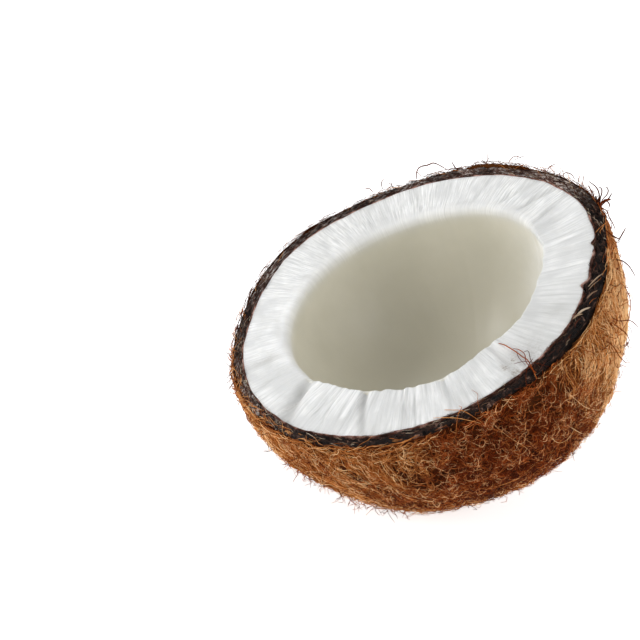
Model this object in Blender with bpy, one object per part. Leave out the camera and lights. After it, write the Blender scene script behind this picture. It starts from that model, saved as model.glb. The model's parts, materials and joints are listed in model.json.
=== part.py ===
"""Half a ripe coconut, cut across and resting on its husk with the cut face up.

Four layers lie inside one another: white meat, the meat's thin brown skin, the hard shell and a coat
of husk fibre. Every surface is the hard shell's outer form moved along that form's own normal, so
each layer follows when the overall size or a neighbour's wall changes.

Metres, +Z up. The origin is the centre of the flat patch that the half rests on, and the cut face
looks up and towards -Y.
"""

import math

import bmesh
import bpy
from mathutils import Matrix, Vector

# The hard shell's outer form, which leads all the others.
RIM_RADIUS = 0.055  # at the cut
SHELL_DEPTH = 0.0565  # from the cut to the pole
OVAL = 0.011  # share of the radius by which the outline is longer one way
OVAL_TURN = math.radians(70)
THREE_SIDED = 0.010  # share of the radius by which the nut's three ridges stand out
RIDGE_TURN = math.radians(-34.5)
POLE_LEAN = Vector((0.0007, 0.0013, 0))  # how far the pole sits off the middle of the cut

# Walls, each measured square to the surface.
LAYER_GAP = 0.0003  # between two layers that touch
SHELL_WALL = 0.0029
SKIN_WALL = 0.0004
MEAT_AT_RIM = 0.0149
MEAT_AT_POLE = 0.0125
HUSK_AT_POLE = 0.0041  # the fibres are matted thickest round the pole
HUSK_AT_SIDE = 0.0021
HUSK_AT_RIM = 0.0008
SIDE_ANGLE = math.radians(64)  # from the pole to where the husk has thinned to HUSK_AT_SIDE
HUSK_TAPER = 0.009  # height over which the husk thins from HUSK_AT_SIDE to HUSK_AT_RIM

# The husk stops short of the cut, and the cavity has its own outline and a rounded lip.
HUSK_DROP = 0.0015
LIP_RADIUS = 0.002
CAVITY_SHIFT = Vector((-0.0015, 0, 0))
CAVITY_OVAL = 0.040
CAVITY_TURN = math.radians(52)

# How it rests.
TILT = math.radians(25)  # of the cut face, from level towards -Y
REST_CRUSH = 0.0025  # how deep the fibres underneath are pressed flat

# How finely the round forms are divided.
SEGMENTS = 48
RINGS = 12
LIP_STEPS = 3
SMOOTH_ANGLE = math.radians(40)
WELD = 1e-7

QUARTER = math.pi / 2
CAVITY_SHARE = "cavity_share"


def ease(share):
    """0 to 1 with a level start and end, for a share that runs from 0 to 1."""
    share = min(max(share, 0.0), 1.0)
    return share * share * (3 - 2 * share)


def form_point(angle, offset):
    """Radius and height of the shell's outer form at an angle from its pole, moved out by offset."""
    across = SHELL_DEPTH * math.sin(angle)
    down = RIM_RADIUS * math.cos(angle)
    length = math.hypot(across, down)
    radius = RIM_RADIUS * math.sin(angle) + offset * across / length
    height = -SHELL_DEPTH * math.cos(angle) - offset * down / length
    return radius, height


def arc(offset_at, start, end, steps=RINGS):
    """Points of a layer's surface between two angles from the pole, its offset a function of angle."""
    angles = [start + (end - start) * i / steps for i in range(steps + 1)]
    return [form_point(angle, offset_at(angle)) for angle in angles]


def wall_profile(inner, outer):
    """A layer of even wall, from its outer pole up to the cut and back down to its inner pole."""
    out = arc(lambda angle: outer, 0, QUARTER)
    back = arc(lambda angle: inner, QUARTER, 0)
    return [(*point, 0.0) for point in out + back]


def husk_thickness(angle):
    """Thick at the pole, thinner at the side, and tapered towards the husk's upper edge."""
    side = ease(angle / SIDE_ANGLE)
    thickness = HUSK_AT_POLE + (HUSK_AT_SIDE - HUSK_AT_POLE) * side
    below_edge = SHELL_DEPTH * math.cos(angle) - HUSK_DROP
    taper = 1 - ease(below_edge / HUSK_TAPER)
    return thickness + (HUSK_AT_RIM - thickness) * taper


def husk_profile():
    top = math.acos(HUSK_DROP / SHELL_DEPTH)
    out = arc(lambda angle: LAYER_GAP + husk_thickness(angle), 0, top)
    back = arc(lambda angle: LAYER_GAP, top, 0)
    return [(*point, 0.0) for point in out + back]


def meat_profile(outer):
    """The outer side and the cut in one run, then the rounded lip and the wall of the cavity."""

    def cavity_offset(angle):
        return outer - MEAT_AT_POLE - (MEAT_AT_RIM - MEAT_AT_POLE) * math.sin(angle) ** 2

    out = [(*point, 0.0) for point in arc(lambda angle: outer, 0, QUARTER)]
    mouth = form_point(QUARTER, cavity_offset(QUARTER))[0]
    pole = -form_point(0, cavity_offset(0))[1]
    turns = [QUARTER * (1 + i / LIP_STEPS) for i in range(LIP_STEPS)]
    lip = [
        (mouth + LIP_RADIUS * (1 + math.cos(turn)), LIP_RADIUS * (math.sin(turn) - 1), 1.0)
        for turn in turns
    ]
    start = math.acos(LIP_RADIUS / pole)
    angles = [start * (1 - i / RINGS) for i in range(RINGS + 1)]
    wall = [(*form_point(angle, cavity_offset(angle)), math.sin(angle)) for angle in angles]
    return out + lip + wall


def turned(profile):
    """Spins a profile of (radius, height, cavity share) once round the axis into a closed form."""
    bm = bmesh.new()
    share = bm.verts.layers.float.new(CAVITY_SHARE)
    verts = []
    for radius, height, cavity in profile:
        vert = bm.verts.new((radius, 0, height))
        vert[share] = cavity
        verts.append(vert)
    edges = [bm.edges.new(pair) for pair in zip(verts, verts[1:])]
    bmesh.ops.spin(
        bm,
        geom=verts + edges,
        cent=(0, 0, 0),
        axis=(0, 0, 1),
        angle=2 * math.pi,
        steps=SEGMENTS,
        use_merge=True,
    )
    bmesh.ops.remove_doubles(bm, verts=bm.verts, dist=WELD)
    bmesh.ops.recalc_face_normals(bm, faces=bm.faces)
    return bm


def grow_outline(bm):
    """Gives a turned form the nut's outline: oval and three-sided, with its pole a little to one side."""
    share = bm.verts.layers.float[CAVITY_SHARE]
    for vert in bm.verts:
        turn = math.atan2(vert.co.y, vert.co.x)
        stretch = 1 + OVAL * math.cos(2 * (turn - OVAL_TURN))
        stretch += THREE_SIDED * math.cos(3 * (turn - RIDGE_TURN))
        stretch += CAVITY_OVAL * vert[share] * math.cos(2 * (turn - CAVITY_TURN))
        lean = POLE_LEAN * (-vert.co.z / SHELL_DEPTH)
        vert.co.x *= stretch
        vert.co.y *= stretch
        vert.co += lean + CAVITY_SHIFT * vert[share]


def press_flat(bm, down):
    """Cuts the lowest part of the husk off level, and returns the middle of the flat face it leaves."""
    level = max(vert.co.dot(down) for vert in bm.verts) - REST_CRUSH
    cut = bmesh.ops.bisect_plane(
        bm,
        geom=bm.verts[:] + bm.edges[:] + bm.faces[:],
        plane_co=down * level,
        plane_no=down,
        clear_outer=True,
    )
    rim = [item for item in cut["geom_cut"] if isinstance(item, bmesh.types.BMEdge)]
    face = bmesh.ops.edgenet_fill(bm, edges=rim)["faces"][0]
    bmesh.ops.recalc_face_normals(bm, faces=bm.faces)
    return face.calc_center_bounds()


def material(name, colour, roughness):
    made = bpy.data.materials.new(name)
    made.use_nodes = True
    shader = made.node_tree.nodes["Principled BSDF"]
    shader.inputs["Base Color"].default_value = (*colour, 1)
    shader.inputs["Roughness"].default_value = roughness
    shader.inputs["Metallic"].default_value = 0.0
    return made


def add_layer(name, bm, seat, finish):
    """Turns a finished bmesh into an object on the seat."""
    mesh = bpy.data.meshes.new(name)
    bm.to_mesh(mesh)
    bm.free()
    mesh.attributes.remove(mesh.attributes[CAVITY_SHARE])
    mesh.shade_smooth()
    mesh.set_sharp_from_angle(angle=SMOOTH_ANGLE)
    mesh.materials.append(finish)
    layer = bpy.data.objects.new(name, mesh)
    bpy.context.scene.collection.objects.link(layer)
    layer.parent = seat


def build():
    for old in list(bpy.data.objects):
        bpy.data.objects.remove(old)

    shell_inside = -SHELL_WALL
    skin_outside = shell_inside - LAYER_GAP
    skin_inside = skin_outside - SKIN_WALL
    meat_outside = skin_inside - LAYER_GAP
    layers = {
        "meat": turned(meat_profile(meat_outside)),
        "brown_skin": turned(wall_profile(skin_inside, skin_outside)),
        "hard_shell": turned(wall_profile(shell_inside, 0.0)),
        "husk_fibre": turned(husk_profile()),
    }
    for bm in layers.values():
        grow_outline(bm)

    tilt = Matrix.Rotation(TILT, 3, "X")
    down = tilt.inverted() @ Vector((0, 0, -1))
    rest_middle = press_flat(layers["husk_fibre"], down)
    seat = bpy.data.objects.new("seat", None)
    bpy.context.scene.collection.objects.link(seat)
    seat.rotation_euler.x = TILT
    seat.location = -(tilt @ rest_middle)

    finishes = {
        "meat": material("coconut_meat", (0.86, 0.86, 0.83), 0.45),
        "brown_skin": material("skin_brown", (0.20, 0.085, 0.04), 0.6),
        "hard_shell": material("shell_dark", (0.045, 0.028, 0.020), 0.7),
        "husk_fibre": material("husk_coir", (0.27, 0.125, 0.045), 0.9),
    }
    for name, bm in layers.items():
        add_layer(name, bm, seat, finishes[name])


build()
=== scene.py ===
# %% [markdown]
# # Half a coconut, from the cut meat to the last loose fibre
#
# A ripe coconut cut across has four layers: white meat, the meat's thin brown skin, a hard dark shell
# and a coat of husk fibre. The CAD model gives the size and place of each layer. This lesson makes
# each one again as a fine surface, and then lays thousands of separate fibres over the husk.

# %% Load the frame
import json

import bpy
import numpy as np
from mathutils import Matrix, Vector

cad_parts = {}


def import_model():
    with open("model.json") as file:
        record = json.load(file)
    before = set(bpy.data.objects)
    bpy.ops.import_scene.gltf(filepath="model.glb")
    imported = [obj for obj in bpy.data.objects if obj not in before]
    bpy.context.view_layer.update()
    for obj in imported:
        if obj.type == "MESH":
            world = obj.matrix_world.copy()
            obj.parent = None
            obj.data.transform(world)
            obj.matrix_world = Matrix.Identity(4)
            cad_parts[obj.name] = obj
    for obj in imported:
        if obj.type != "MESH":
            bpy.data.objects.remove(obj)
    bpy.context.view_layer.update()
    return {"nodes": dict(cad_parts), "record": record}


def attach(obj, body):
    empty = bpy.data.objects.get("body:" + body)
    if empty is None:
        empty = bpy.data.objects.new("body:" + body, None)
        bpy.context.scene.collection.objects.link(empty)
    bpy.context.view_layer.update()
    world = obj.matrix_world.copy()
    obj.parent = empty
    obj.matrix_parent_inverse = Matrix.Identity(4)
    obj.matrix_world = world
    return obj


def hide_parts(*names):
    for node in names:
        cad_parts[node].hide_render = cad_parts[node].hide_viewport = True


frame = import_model()
MM = 0.001
CUT_SLACK = 0.02 * MM
print("nodes:", sorted(frame["nodes"]))

# %% [markdown]
# ## Measure the nut
#
# The half rests tilted, so it is easier to model in its own axes: x across, y up the slope of the cut
# face and z out of the cut. Turning the finished pieces would work too, but a finish that reads object
# coordinates would turn with them. So every point is worked out in the bowl's own axes and then put in
# its place in the world. The direction of the cut comes from the record, its middle from the ring of
# points where the hard shell is cut.

# %% The bowl's own axes
mounts = {mount["name"]: mount for mount in frame["record"]["mounts"]}
out_of_cut = np.array(mounts["cut_face"]["axis"])
out_of_cut /= np.linalg.norm(out_of_cut)
across_cut = np.array([1.0, 0.0, 0.0])
up_slope = np.cross(out_of_cut, across_cut)
AXES = np.array([across_cut, up_slope, out_of_cut])


def node_points(name):
    """All points of a CAD node, each once, in world space."""
    mesh = frame["nodes"][name].data
    points = np.empty(len(mesh.vertices) * 3, np.float32)
    mesh.vertices.foreach_get("co", points)
    return np.unique(np.round(points.reshape(-1, 3).astype(float), 7), axis=0)


def cut_points(name):
    """The points of a CAD node that lie in the plane of the cut."""
    points = node_points(name)
    height = points @ out_of_cut
    return points[height > height.max() - CUT_SLACK]


shell_ring = cut_points("hard_shell")
radius = np.linalg.norm(shell_ring - shell_ring.mean(0), axis=1)
outer_ring = shell_ring[radius > radius.mean()]
CENTRE = outer_ring.mean(0)
print("middle of the cut, mm:", np.round(CENTRE / MM, 2))


# %% From the world to the bowl and back
def own_axes(points):
    """World points in the bowl's own axes: the way from the middle of the cut, along each axis."""
    return (points - CENTRE) @ AXES.T


def world(points):
    """Points in the bowl's own axes back in the world: the axes, each times its share, added up."""
    return points @ AXES + CENTRE


print("1 mm out of the cut is, in mm:", np.round((world(np.array([0, 0, MM])) - CENTRE) / MM, 2))


# %% [markdown]
# ## Outlines as waves
#
# A coconut isn't round: its outline is a little oval and a little three-sided. An outline could be
# drawn by hand as a curve. Here it is the sum of a few waves round the circle, and least squares finds
# how strong each wave is in the CAD model's own points, so the fine pieces fit the CAD exactly.


# %% Outlines
def outline_of(points, most=3):
    """Fits radius = mean + a cos(k turn) + b sin(k turn), k = 1 to most, and returns that function."""
    turn = np.arctan2(points[:, 1], points[:, 0])
    terms = [np.ones_like(turn)]
    terms += [wave(k * turn) for k in range(1, most + 1) for wave in (np.cos, np.sin)]
    radius = np.hypot(points[:, 0], points[:, 1])
    found = np.linalg.lstsq(np.column_stack(terms), radius, rcond=None)[0]

    def outline(turn):
        """The radius at each turn: the mean plus the waves."""
        total = np.full_like(turn, found[0])
        for k in range(1, most + 1):
            total += found[2 * k - 1] * np.cos(k * turn) + found[2 * k] * np.sin(k * turn)
        return total

    return outline, found[0]


shell_edge, RIM = outline_of(own_axes(outer_ring))
meat_ring = own_axes(cut_points("meat"))
meat_radius = np.hypot(meat_ring[:, 0], meat_ring[:, 1])
meat_edge, MEAT_EDGE = outline_of(meat_ring[meat_radius > meat_radius.mean()])
lip_edge, LIP_EDGE = outline_of(meat_ring[meat_radius < meat_radius.mean()])
SKIN_OFFSET = MEAT_EDGE - RIM
print("rim, meat edge and lip, mm:", np.round(np.array([RIM, MEAT_EDGE, LIP_EDGE]) / MM, 2))

# %% Depths
shell_points = own_axes(node_points("hard_shell"))
pole = shell_points[shell_points[:, 2].argmin()]
DEPTH = -pole[2]
LEAN = pole[:2]
meat_points = own_axes(node_points("meat"))
near_bowl = np.linalg.norm(meat_points, axis=1) < 0.5 * (MEAT_EDGE + LIP_EDGE)
BOWL_DEPTH = -meat_points[near_bowl, 2].min()
print("shell and bowl depth, mm:", np.round(np.array([DEPTH, BOWL_DEPTH]) / MM, 2))

# %% [markdown]
# ## Camera
#
# A long lens from well back shows the half with little perspective, as product pictures do. The
# camera looks down on the cut at a slant, so the bowl, the cut and the husk below it all show. It
# aims past the nut, which leaves the nut to the right of the middle.

# %% Camera
VIEW_TURN, VIEW_RISE = np.radians(62.485), np.radians(28.432)
VIEW_DISTANCE = 0.9
SENSOR = 36
LENS_PER_SENSOR = 5.075
ASIDE, BELOW = 0.02696, 0.00543

towards = np.array([
    np.sin(VIEW_TURN) * np.cos(VIEW_RISE),
    -np.cos(VIEW_TURN) * np.cos(VIEW_RISE),
    np.sin(VIEW_RISE),
])
view_right = np.array([np.cos(VIEW_TURN), np.sin(VIEW_TURN), 0.0])
view_up = np.cross(towards, view_right)
eye = CENTRE + towards * VIEW_DISTANCE - view_right * ASIDE - view_up * BELOW

camera_data = bpy.data.cameras.new("camera")
camera_data.sensor_width = SENSOR
camera_data.lens = SENSOR * LENS_PER_SENSOR
camera_data.clip_end = 10
camera = bpy.data.objects.new("camera", camera_data)
turned = np.eye(4)
turned[:3, :3] = np.column_stack([view_right, view_up, towards])
turned[:3, 3] = eye
camera.matrix_world = Matrix(turned.tolist())
bpy.context.scene.collection.objects.link(camera)
bpy.context.scene.camera = camera
print("camera at, m:", np.round(eye, 3))

# %% [markdown]
# ## Light
#
# The bowl has to look deep and wet and the husk rough, under light that throws no hard shadow. One
# sun would be too harsh. So a bright white room lights the nut from every side, and three large soft
# panels shape it: one above, one to the left and one to the right.


# %% Light
def soft_panel(name, place, size, power):
    """A square area light at a place from the middle of the cut, turned to face that middle."""
    data = bpy.data.lights.new(name, "AREA")
    data.size = size
    data.energy = power
    panel = bpy.data.objects.new(name, data)
    panel.location = Vector((CENTRE + np.array(place)).tolist())
    aim = Vector(CENTRE.tolist()) - panel.location
    panel.rotation_euler = aim.to_track_quat("-Z", "Y").to_euler()
    bpy.context.scene.collection.objects.link(panel)
    print(name, power, "W")


soft_panel("panel_above", (-0.35, -0.05, 0.85), 0.55, 2.75)
soft_panel("panel_left", (-0.25, -0.85, 0.35), 0.4, 4.7)
soft_panel("panel_right", (0.85, 0.35, 0.45), 0.6, 4.1)

ROOM_STRENGTH = 0.46
room = bpy.data.worlds.new("bright_room")
room.use_nodes = True
room.node_tree.nodes["Background"].inputs["Color"].default_value = (1, 1, 1, 1)
room.node_tree.nodes["Background"].inputs["Strength"].default_value = ROOM_STRENGTH
bpy.context.scene.world = room
bpy.context.scene.view_settings.view_transform = "Standard"
print(room.name, ROOM_STRENGTH)

# %% [markdown]
# ## Surfaces from arrays
#
# Each layer of the nut is a closed wall. It could be a sphere with modifiers, but the cut edge needs
# its own rough shape. So a layer is a grid of points: one direction runs round the nut, the other
# from the middle of its outside, over the cut and down to the middle of its inside. The grid closes
# on itself round the nut, and one extra point closes each end.


# %% Meshes from arrays
def mesh_object(name, points, faces, smooth=True):
    """A mesh from an array of points and a list of face arrays, each with one number of corners."""
    mesh = bpy.data.meshes.new(name)
    corners = np.concatenate([block.ravel() for block in faces])
    sizes = np.concatenate([np.full(len(block), block.shape[1]) for block in faces])
    mesh.vertices.add(len(points))
    mesh.vertices.foreach_set("co", np.ascontiguousarray(points, np.float32).ravel())
    mesh.loops.add(len(corners))
    mesh.loops.foreach_set("vertex_index", corners.astype(np.int32))
    mesh.polygons.add(len(sizes))
    starts = np.concatenate([[0], np.cumsum(sizes)[:-1]])
    mesh.polygons.foreach_set("loop_start", starts.astype(np.int32))
    mesh.update(calc_edges=True)
    if smooth:
        mesh.shade_smooth()
    made = bpy.data.objects.new(name, mesh)
    bpy.context.scene.collection.objects.link(made)
    return made


def closed_grid(rows, columns):
    """Faces of a grid: each point with its neighbours across and down, the last column joined to the
    first, and a fan of triangles from one extra point at each end."""
    start = np.arange(rows - 1)[:, None] * columns
    here = np.arange(columns)[None]
    there = (here + 1) % columns
    corners = [start + here, start + there, start + columns + there, start + columns + here]
    quads = np.stack(corners, -1).reshape(-1, 4)
    first, last = rows * columns, rows * columns + 1
    one, two = here[0], there[0]
    opening = np.stack([np.full(columns, first), two, one], -1)
    base = (rows - 1) * columns
    closing = np.stack([np.full(columns, last), base + one, base + two], -1)
    return quads, opening, closing


def layer_object(name, grid):
    """A closed layer from its grid in the bowl's own axes. Each end point is its row's mean, and
    nothing goes below the floor."""
    rows, columns = grid.shape[:2]
    ends = np.stack([grid[0].mean(0), grid[-1].mean(0)])
    points = world(np.vstack([grid.reshape(-1, 3), ends]))
    points[:, 2] = np.maximum(points[:, 2], 0.0)
    return mesh_object(name, points, closed_grid(rows, columns))


print("a grid of 4 rows by 6 columns has", sum(map(len, closed_grid(4, 6))), "faces")


# %% Numbers on the points, and the hand-over
def give(piece, name, values):
    """Stores one number or one vector for each point of a piece, for its finish to read."""
    values = np.ascontiguousarray(values, np.float32)
    kind, field = ("FLOAT", "value") if values.ndim == 1 else ("FLOAT_VECTOR", "vector")
    attribute = piece.data.attributes.new(name, kind, "POINT")
    attribute.data.foreach_set(field, values.ravel())


def with_ends(values):
    """Grid values as one list, with the mean of the first and of the last row for the end points."""
    flat = values.reshape(-1, *values.shape[2:])
    return np.concatenate([flat, [values[0].mean(0), values[-1].mean(0)]])


def hand_over(piece, node, finish):
    """Puts the piece on the frame, in place of a CAD node, with that node's finish."""
    piece.data.materials.append(finish)
    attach(piece, "root")
    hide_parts(node)
    print(piece.name, len(piece.data.polygons), "faces")


# %% [markdown]
# ## Smooth chance
#
# Nothing on a fruit is even, yet nothing jumps. Blender's noise could push points about, but its
# values can't be worked out as an array. Three small functions do that job here: a smooth hill, random
# numbers on a lattice round the nut, and a mean of plane waves in space. Each has its own seed, so
# the nut comes out the same every time.


# %% Steps, hills and gaps
def ease(share):
    """0 to 1 with a level start and end: 3 s squared minus 2 s cubed."""
    share = np.clip(share, 0, 1)
    return share * share * (3 - 2 * share)


def bump_at(value, middle, width):
    """A smooth hill: e to the power of minus the squared distance from its middle in widths."""
    return np.exp(-(((value - middle) / width) ** 2))


def turn_gap(turn, degrees):
    """How far a turn is from an angle, in degrees: their difference, wrapped to plus or minus 180."""
    return (np.degrees(turn) - degrees + 180) % 360 - 180


def hills(turn, *places):
    """Smooth hills round the nut added up, each from its turn and width in degrees and its height."""
    return sum(height * bump_at(turn_gap(turn, at), 0, width) for at, width, height in places)


print("a hill at its middle and one width away:", np.round(hills(np.radians([0, 20]), (0, 20, 1)), 2))


# %% Lattices and waves
def lattice(turn, along, around, steps, seed):
    """Random numbers from -1 to 1 on a lattice that closes round the turn, eased in between: each
    point is a mean of its four corners, weighted by how near they are."""
    table = np.random.default_rng(seed).uniform(-1, 1, (steps + 1, around))
    x = (turn / (2 * np.pi)) % 1 * around
    y = np.clip(along, 0, 1) * steps
    i = np.minimum(np.floor(x).astype(int), around - 1)
    j = np.minimum(np.floor(y).astype(int), steps - 1)
    across, down = ease(x - i), ease(y - j)
    k = (i + 1) % around
    near = table[j, i] * (1 - across) + table[j, k] * across
    far = table[j + 1, i] * (1 - across) + table[j + 1, k] * across
    return near * (1 - down) + far * down


def ripple(turn, around, seed):
    """Random numbers round the nut, the same all the way up: the first row of a lattice."""
    return lattice(turn, 0 * turn, around, 1, seed)


def waves(points, size, seed, count=14):
    """Soft noise in space: the mean of plane waves in random directions, of about this size."""
    rng = np.random.default_rng(seed)
    ways = rng.normal(size=(3, count))
    ways *= rng.uniform(0.6, 1.4, count) * 2 * np.pi / size / np.linalg.norm(ways, axis=0)
    return np.sin(points @ ways + rng.uniform(0, 2 * np.pi, count)).sum(-1) / np.sqrt(count / 2)


print("chance round the nut:", np.round(ripple(np.linspace(0, 2 * np.pi, 5), 24, 1), 2))


# %% [markdown]
# ## The shape all layers share
#
# Skin, shell and husk follow one shape: half an ellipse from the pole to the cut, swept round the nut
# and stretched to its outline. The rim swells or sinks a little where the nut grew unevenly, and the
# saw broke small notches out of the meat's edge. One function gives every layer its place, so the
# layers can't cross.

# %% The rim and the nut's surface
# Where the rim swells or sinks: turn and width in degrees, height in mm.
SWELLS = ((-167, 20, 2.3), (-98, 30, 0.1), (84, 20, 0.7), (45, 14, -0.5))

# The meat's edge: two broad swells, then the notches of the saw's bite, as above.
EDGE_SWELLS = ((-98, 34, 0.9), (20, 14, 0.6))
NOTCHES = ((43, 1.7, -1.7), (62, 1.3, -1.1), (52, 6, -0.8), (30, 3, -0.3), (-38, 0.8, -0.3))


def swelling(turn):
    """How far the rim stands out or in, in metres: a sum of smooth hills."""
    return hills(turn, *SWELLS) * MM


def broken_edge(turn):
    """Radius of the meat's outer edge at the cut: outline, swells, small chance and notches."""
    rough = 0.22 * ripple(turn, 64, 21) + hills(turn, *EDGE_SWELLS, *NOTCHES)
    return meat_edge(turn) + swelling(turn) + rough * MM


def ring_points(radius, turn, height):
    """Points at a radius, a turn and a height: x = radius cos turn, y = radius sin turn, z = height."""
    return np.stack(np.broadcast_arrays(radius * np.cos(turn), radius * np.sin(turn), height), -1)


def nut_point(angle, turn, offset):
    """Point of the nut at an angle from its pole and a turn round it: an ellipse from pole to cut,
    moved out by offset along its own normal, stretched to the outline of the cut and leaned as the
    pole leans."""
    across, down = DEPTH * np.sin(angle), RIM * np.cos(angle)
    length = np.hypot(across, down)
    radius = (RIM * np.sin(angle) + offset * across / length) * shell_edge(turn) / RIM
    radius = radius + swelling(turn) * ease((angle - 0.9) / 0.65)
    height = -DEPTH * np.cos(angle) - offset * down / length
    points = ring_points(radius, turn, height)
    points[..., :2] -= LEAN * points[..., 2:] / DEPTH
    return points


rim_turns = np.linspace(-np.pi, np.pi, 361)
print("rim swells, mm:", np.round(swelling(rim_turns).min() / MM, 2), "to",
      np.round(swelling(rim_turns).max() / MM, 2))

# %% [markdown]
# ## Finishes from nodes
#
# A finish is a small network of nodes. Building one by hand in the node editor is quick, but it can't
# be read as a lesson. These helpers each add one node, join its inputs and give back its output, so a
# finish below reads as a list of steps: noise, then colours for its values, then mixtures of them.


# %% Node helpers: values
def new_finish(name, roughness, specular=0.5):
    """An empty Principled finish, with its node tree and shader."""
    finish = bpy.data.materials.new(name)
    finish.use_nodes = True
    shader = finish.node_tree.nodes["Principled BSDF"]
    shader.inputs["Roughness"].default_value = roughness
    shader.inputs["Specular IOR Level"].default_value = specular
    return finish, finish.node_tree, shader


def attribute_of(tree, name, output="Fac"):
    """The value stored under this name on the piece's points."""
    node = tree.nodes.new("ShaderNodeAttribute")
    node.attribute_name = name
    return node.outputs[output]


def object_place(tree):
    """The place on the piece in object coordinates, which here are metres from the world's middle."""
    return tree.nodes.new("ShaderNodeTexCoord").outputs["Object"]


def noise_of(tree, vector, scale, detail=4.0, roughness=0.55):
    """Cloudy noise about 0.5: lumps of size 1 / scale, plus finer layers, each weaker by roughness."""
    node = tree.nodes.new("ShaderNodeTexNoise")
    node.inputs["Scale"].default_value = scale
    node.inputs["Detail"].default_value = detail
    node.inputs["Roughness"].default_value = roughness
    tree.links.new(vector, node.inputs["Vector"])
    return node.outputs["Fac"]


def ranged(tree, value, low, high, to_low, to_high):
    """The value moved in a straight line from low and high to to_low and to_high, and held there."""
    node = tree.nodes.new("ShaderNodeMapRange")
    tree.links.new(value, node.inputs["Value"])
    for name, number in zip(("From Min", "From Max", "To Min", "To Max"), (low, high, to_low, to_high)):
        node.inputs[name].default_value = number
    return node.outputs["Result"]


def combined(tree, kind, first, second):
    """Two values added (ADD) or multiplied (MULTIPLY), and held between 0 and 1."""
    node = tree.nodes.new("ShaderNodeMath")
    node.operation = kind
    node.use_clamp = True
    tree.links.new(first, node.inputs[0])
    tree.links.new(second, node.inputs[1])
    return node.outputs[0]


# %% Node helpers: colours and bump
def ramp_of(tree, value, stops):
    """A colour for each value: straight lines between the stops, each a value and its colour."""
    node = tree.nodes.new("ShaderNodeValToRGB")
    elements = node.color_ramp.elements
    for element, (place, colour) in zip(elements, (stops[0], stops[-1])):
        element.position = place
        element.color = (*colour, 1)
    for place, colour in stops[1:-1]:
        elements.new(place).color = (*colour, 1)
    tree.links.new(value, node.inputs["Fac"])
    return node.outputs["Color"]


def mixed(tree, share, first, second):
    """Two colours mixed: (1 - share) times the first plus share times the second. Each may be a
    socket or a plain colour."""
    node = tree.nodes.new("ShaderNodeMix")
    node.data_type = "RGBA"
    tree.links.new(share, node.inputs[0])
    for value, socket in ((first, node.inputs[6]), (second, node.inputs[7])):
        if isinstance(value, bpy.types.NodeSocket):
            tree.links.new(value, socket)
        else:
            socket.default_value = (*value, 1)
    return node.outputs[2]


def bumped(tree, shader, height, strength, distance):
    """Tilts the light's answer by the slope of height times distance, at this strength."""
    node = tree.nodes.new("ShaderNodeBump")
    node.inputs["Strength"].default_value = strength
    node.inputs["Distance"].default_value = distance
    tree.links.new(height, node.inputs["Height"])
    tree.links.new(node.outputs["Normal"], shader.inputs["Normal"])


# %% [markdown]
# ## The floor
#
# The nut lies on a plain pale ground. A curved backdrop would hide the horizon, but it would show in
# the low views as a wall. So the floor is one large flat square. It glows a little, so that only a
# soft shadow under the husk shows where it is.

# %% Floor
FLOOR_HALF = 3.0
FLOOR_GLOW = 0.72
floor_finish, _, floor_shader = new_finish("pale_floor", 0.9, 0.1)
floor_shader.inputs["Base Color"].default_value = (0.86, 0.86, 0.86, 1)
floor_shader.inputs["Emission Color"].default_value = (1, 1, 1, 1)
floor_shader.inputs["Emission Strength"].default_value = FLOOR_GLOW
floor_corners = np.array([[-1, -1, 0], [1, -1, 0], [1, 1, 0], [-1, 1, 0]]) * FLOOR_HALF
floor = mesh_object("floor", floor_corners, [np.array([[0, 1, 2, 3]])], smooth=False)
floor.data.materials.append(floor_finish)
print("floor", 2 * FLOOR_HALF, "m wide")

# %% [markdown]
# ## The meat
#
# The meat is the white flesh. The cut tears its fibres, which all point at the middle of the nut, so
# the cut face has fine ridges and a few deeper furrows that run outwards, while the wall of the bowl
# is smooth and wet. A bump map alone would leave the lip and the skin's edge ruler-straight. So the
# ridges are heights on a fine grid, strongest where the cut tore most, and they die away over the lip.

# %% How the cut tore
CALM_SIDE = 42

# Each furrow: turn at the bowl and at the skin in degrees, width in degrees, depth in mm.
FURROWS = (
    (-89, -80, 2.8, 2.2),
    (-57, -49, 1.7, 1.5),
    (-103, -99, 1.2, 0.5),
    (-70, -66, 0.9, 0.5),
    (-38, -34, 1.0, 0.5),
    (-20, -17, 1.4, 0.5),
    (-117, -112, 3.0, 0.7),
    (6, 3, 1.6, 0.8),
    (88, 90, 1.3, 0.9),
    (101, 96, 1.3, 1.1),
    (112, 104, 1.5, 0.7),
    (124, 121, 1.2, 0.5),
    (146, 150, 1.4, 0.5),
    (-150, -152, 1.4, 0.5),
)


def tornness(turn):
    """How torn the cut is: 1 all round, less a hill on the side where it broke clean."""
    return 1 - hills(turn, (CALM_SIDE, 32, 0.72))


def crispness(turn):
    """0 where the cut rounds softly into the bowl, 1 where it ends in a crisp edge, eased between."""
    return ease((np.cos(turn - np.radians(-2)) + 0.18) / 0.4)


def furrows(turn, share):
    """Depth of the deeper furrows, in mm: a hill across each, its middle moving from the skin's turn
    to the bowl's, a little shallower at the skin and faint over a soft lip."""
    total = 0 * turn * share
    for at_bowl, at_skin, width, depth in FURROWS:
        gap = turn_gap(turn, at_skin + (at_bowl - at_skin) * share)
        total = total + depth * bump_at(gap, 0, width) * (0.55 + 0.45 * share)
    return total * (1 - 0.75 * (1 - crispness(turn)) * ease((share - 0.7) / 0.3))


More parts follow.
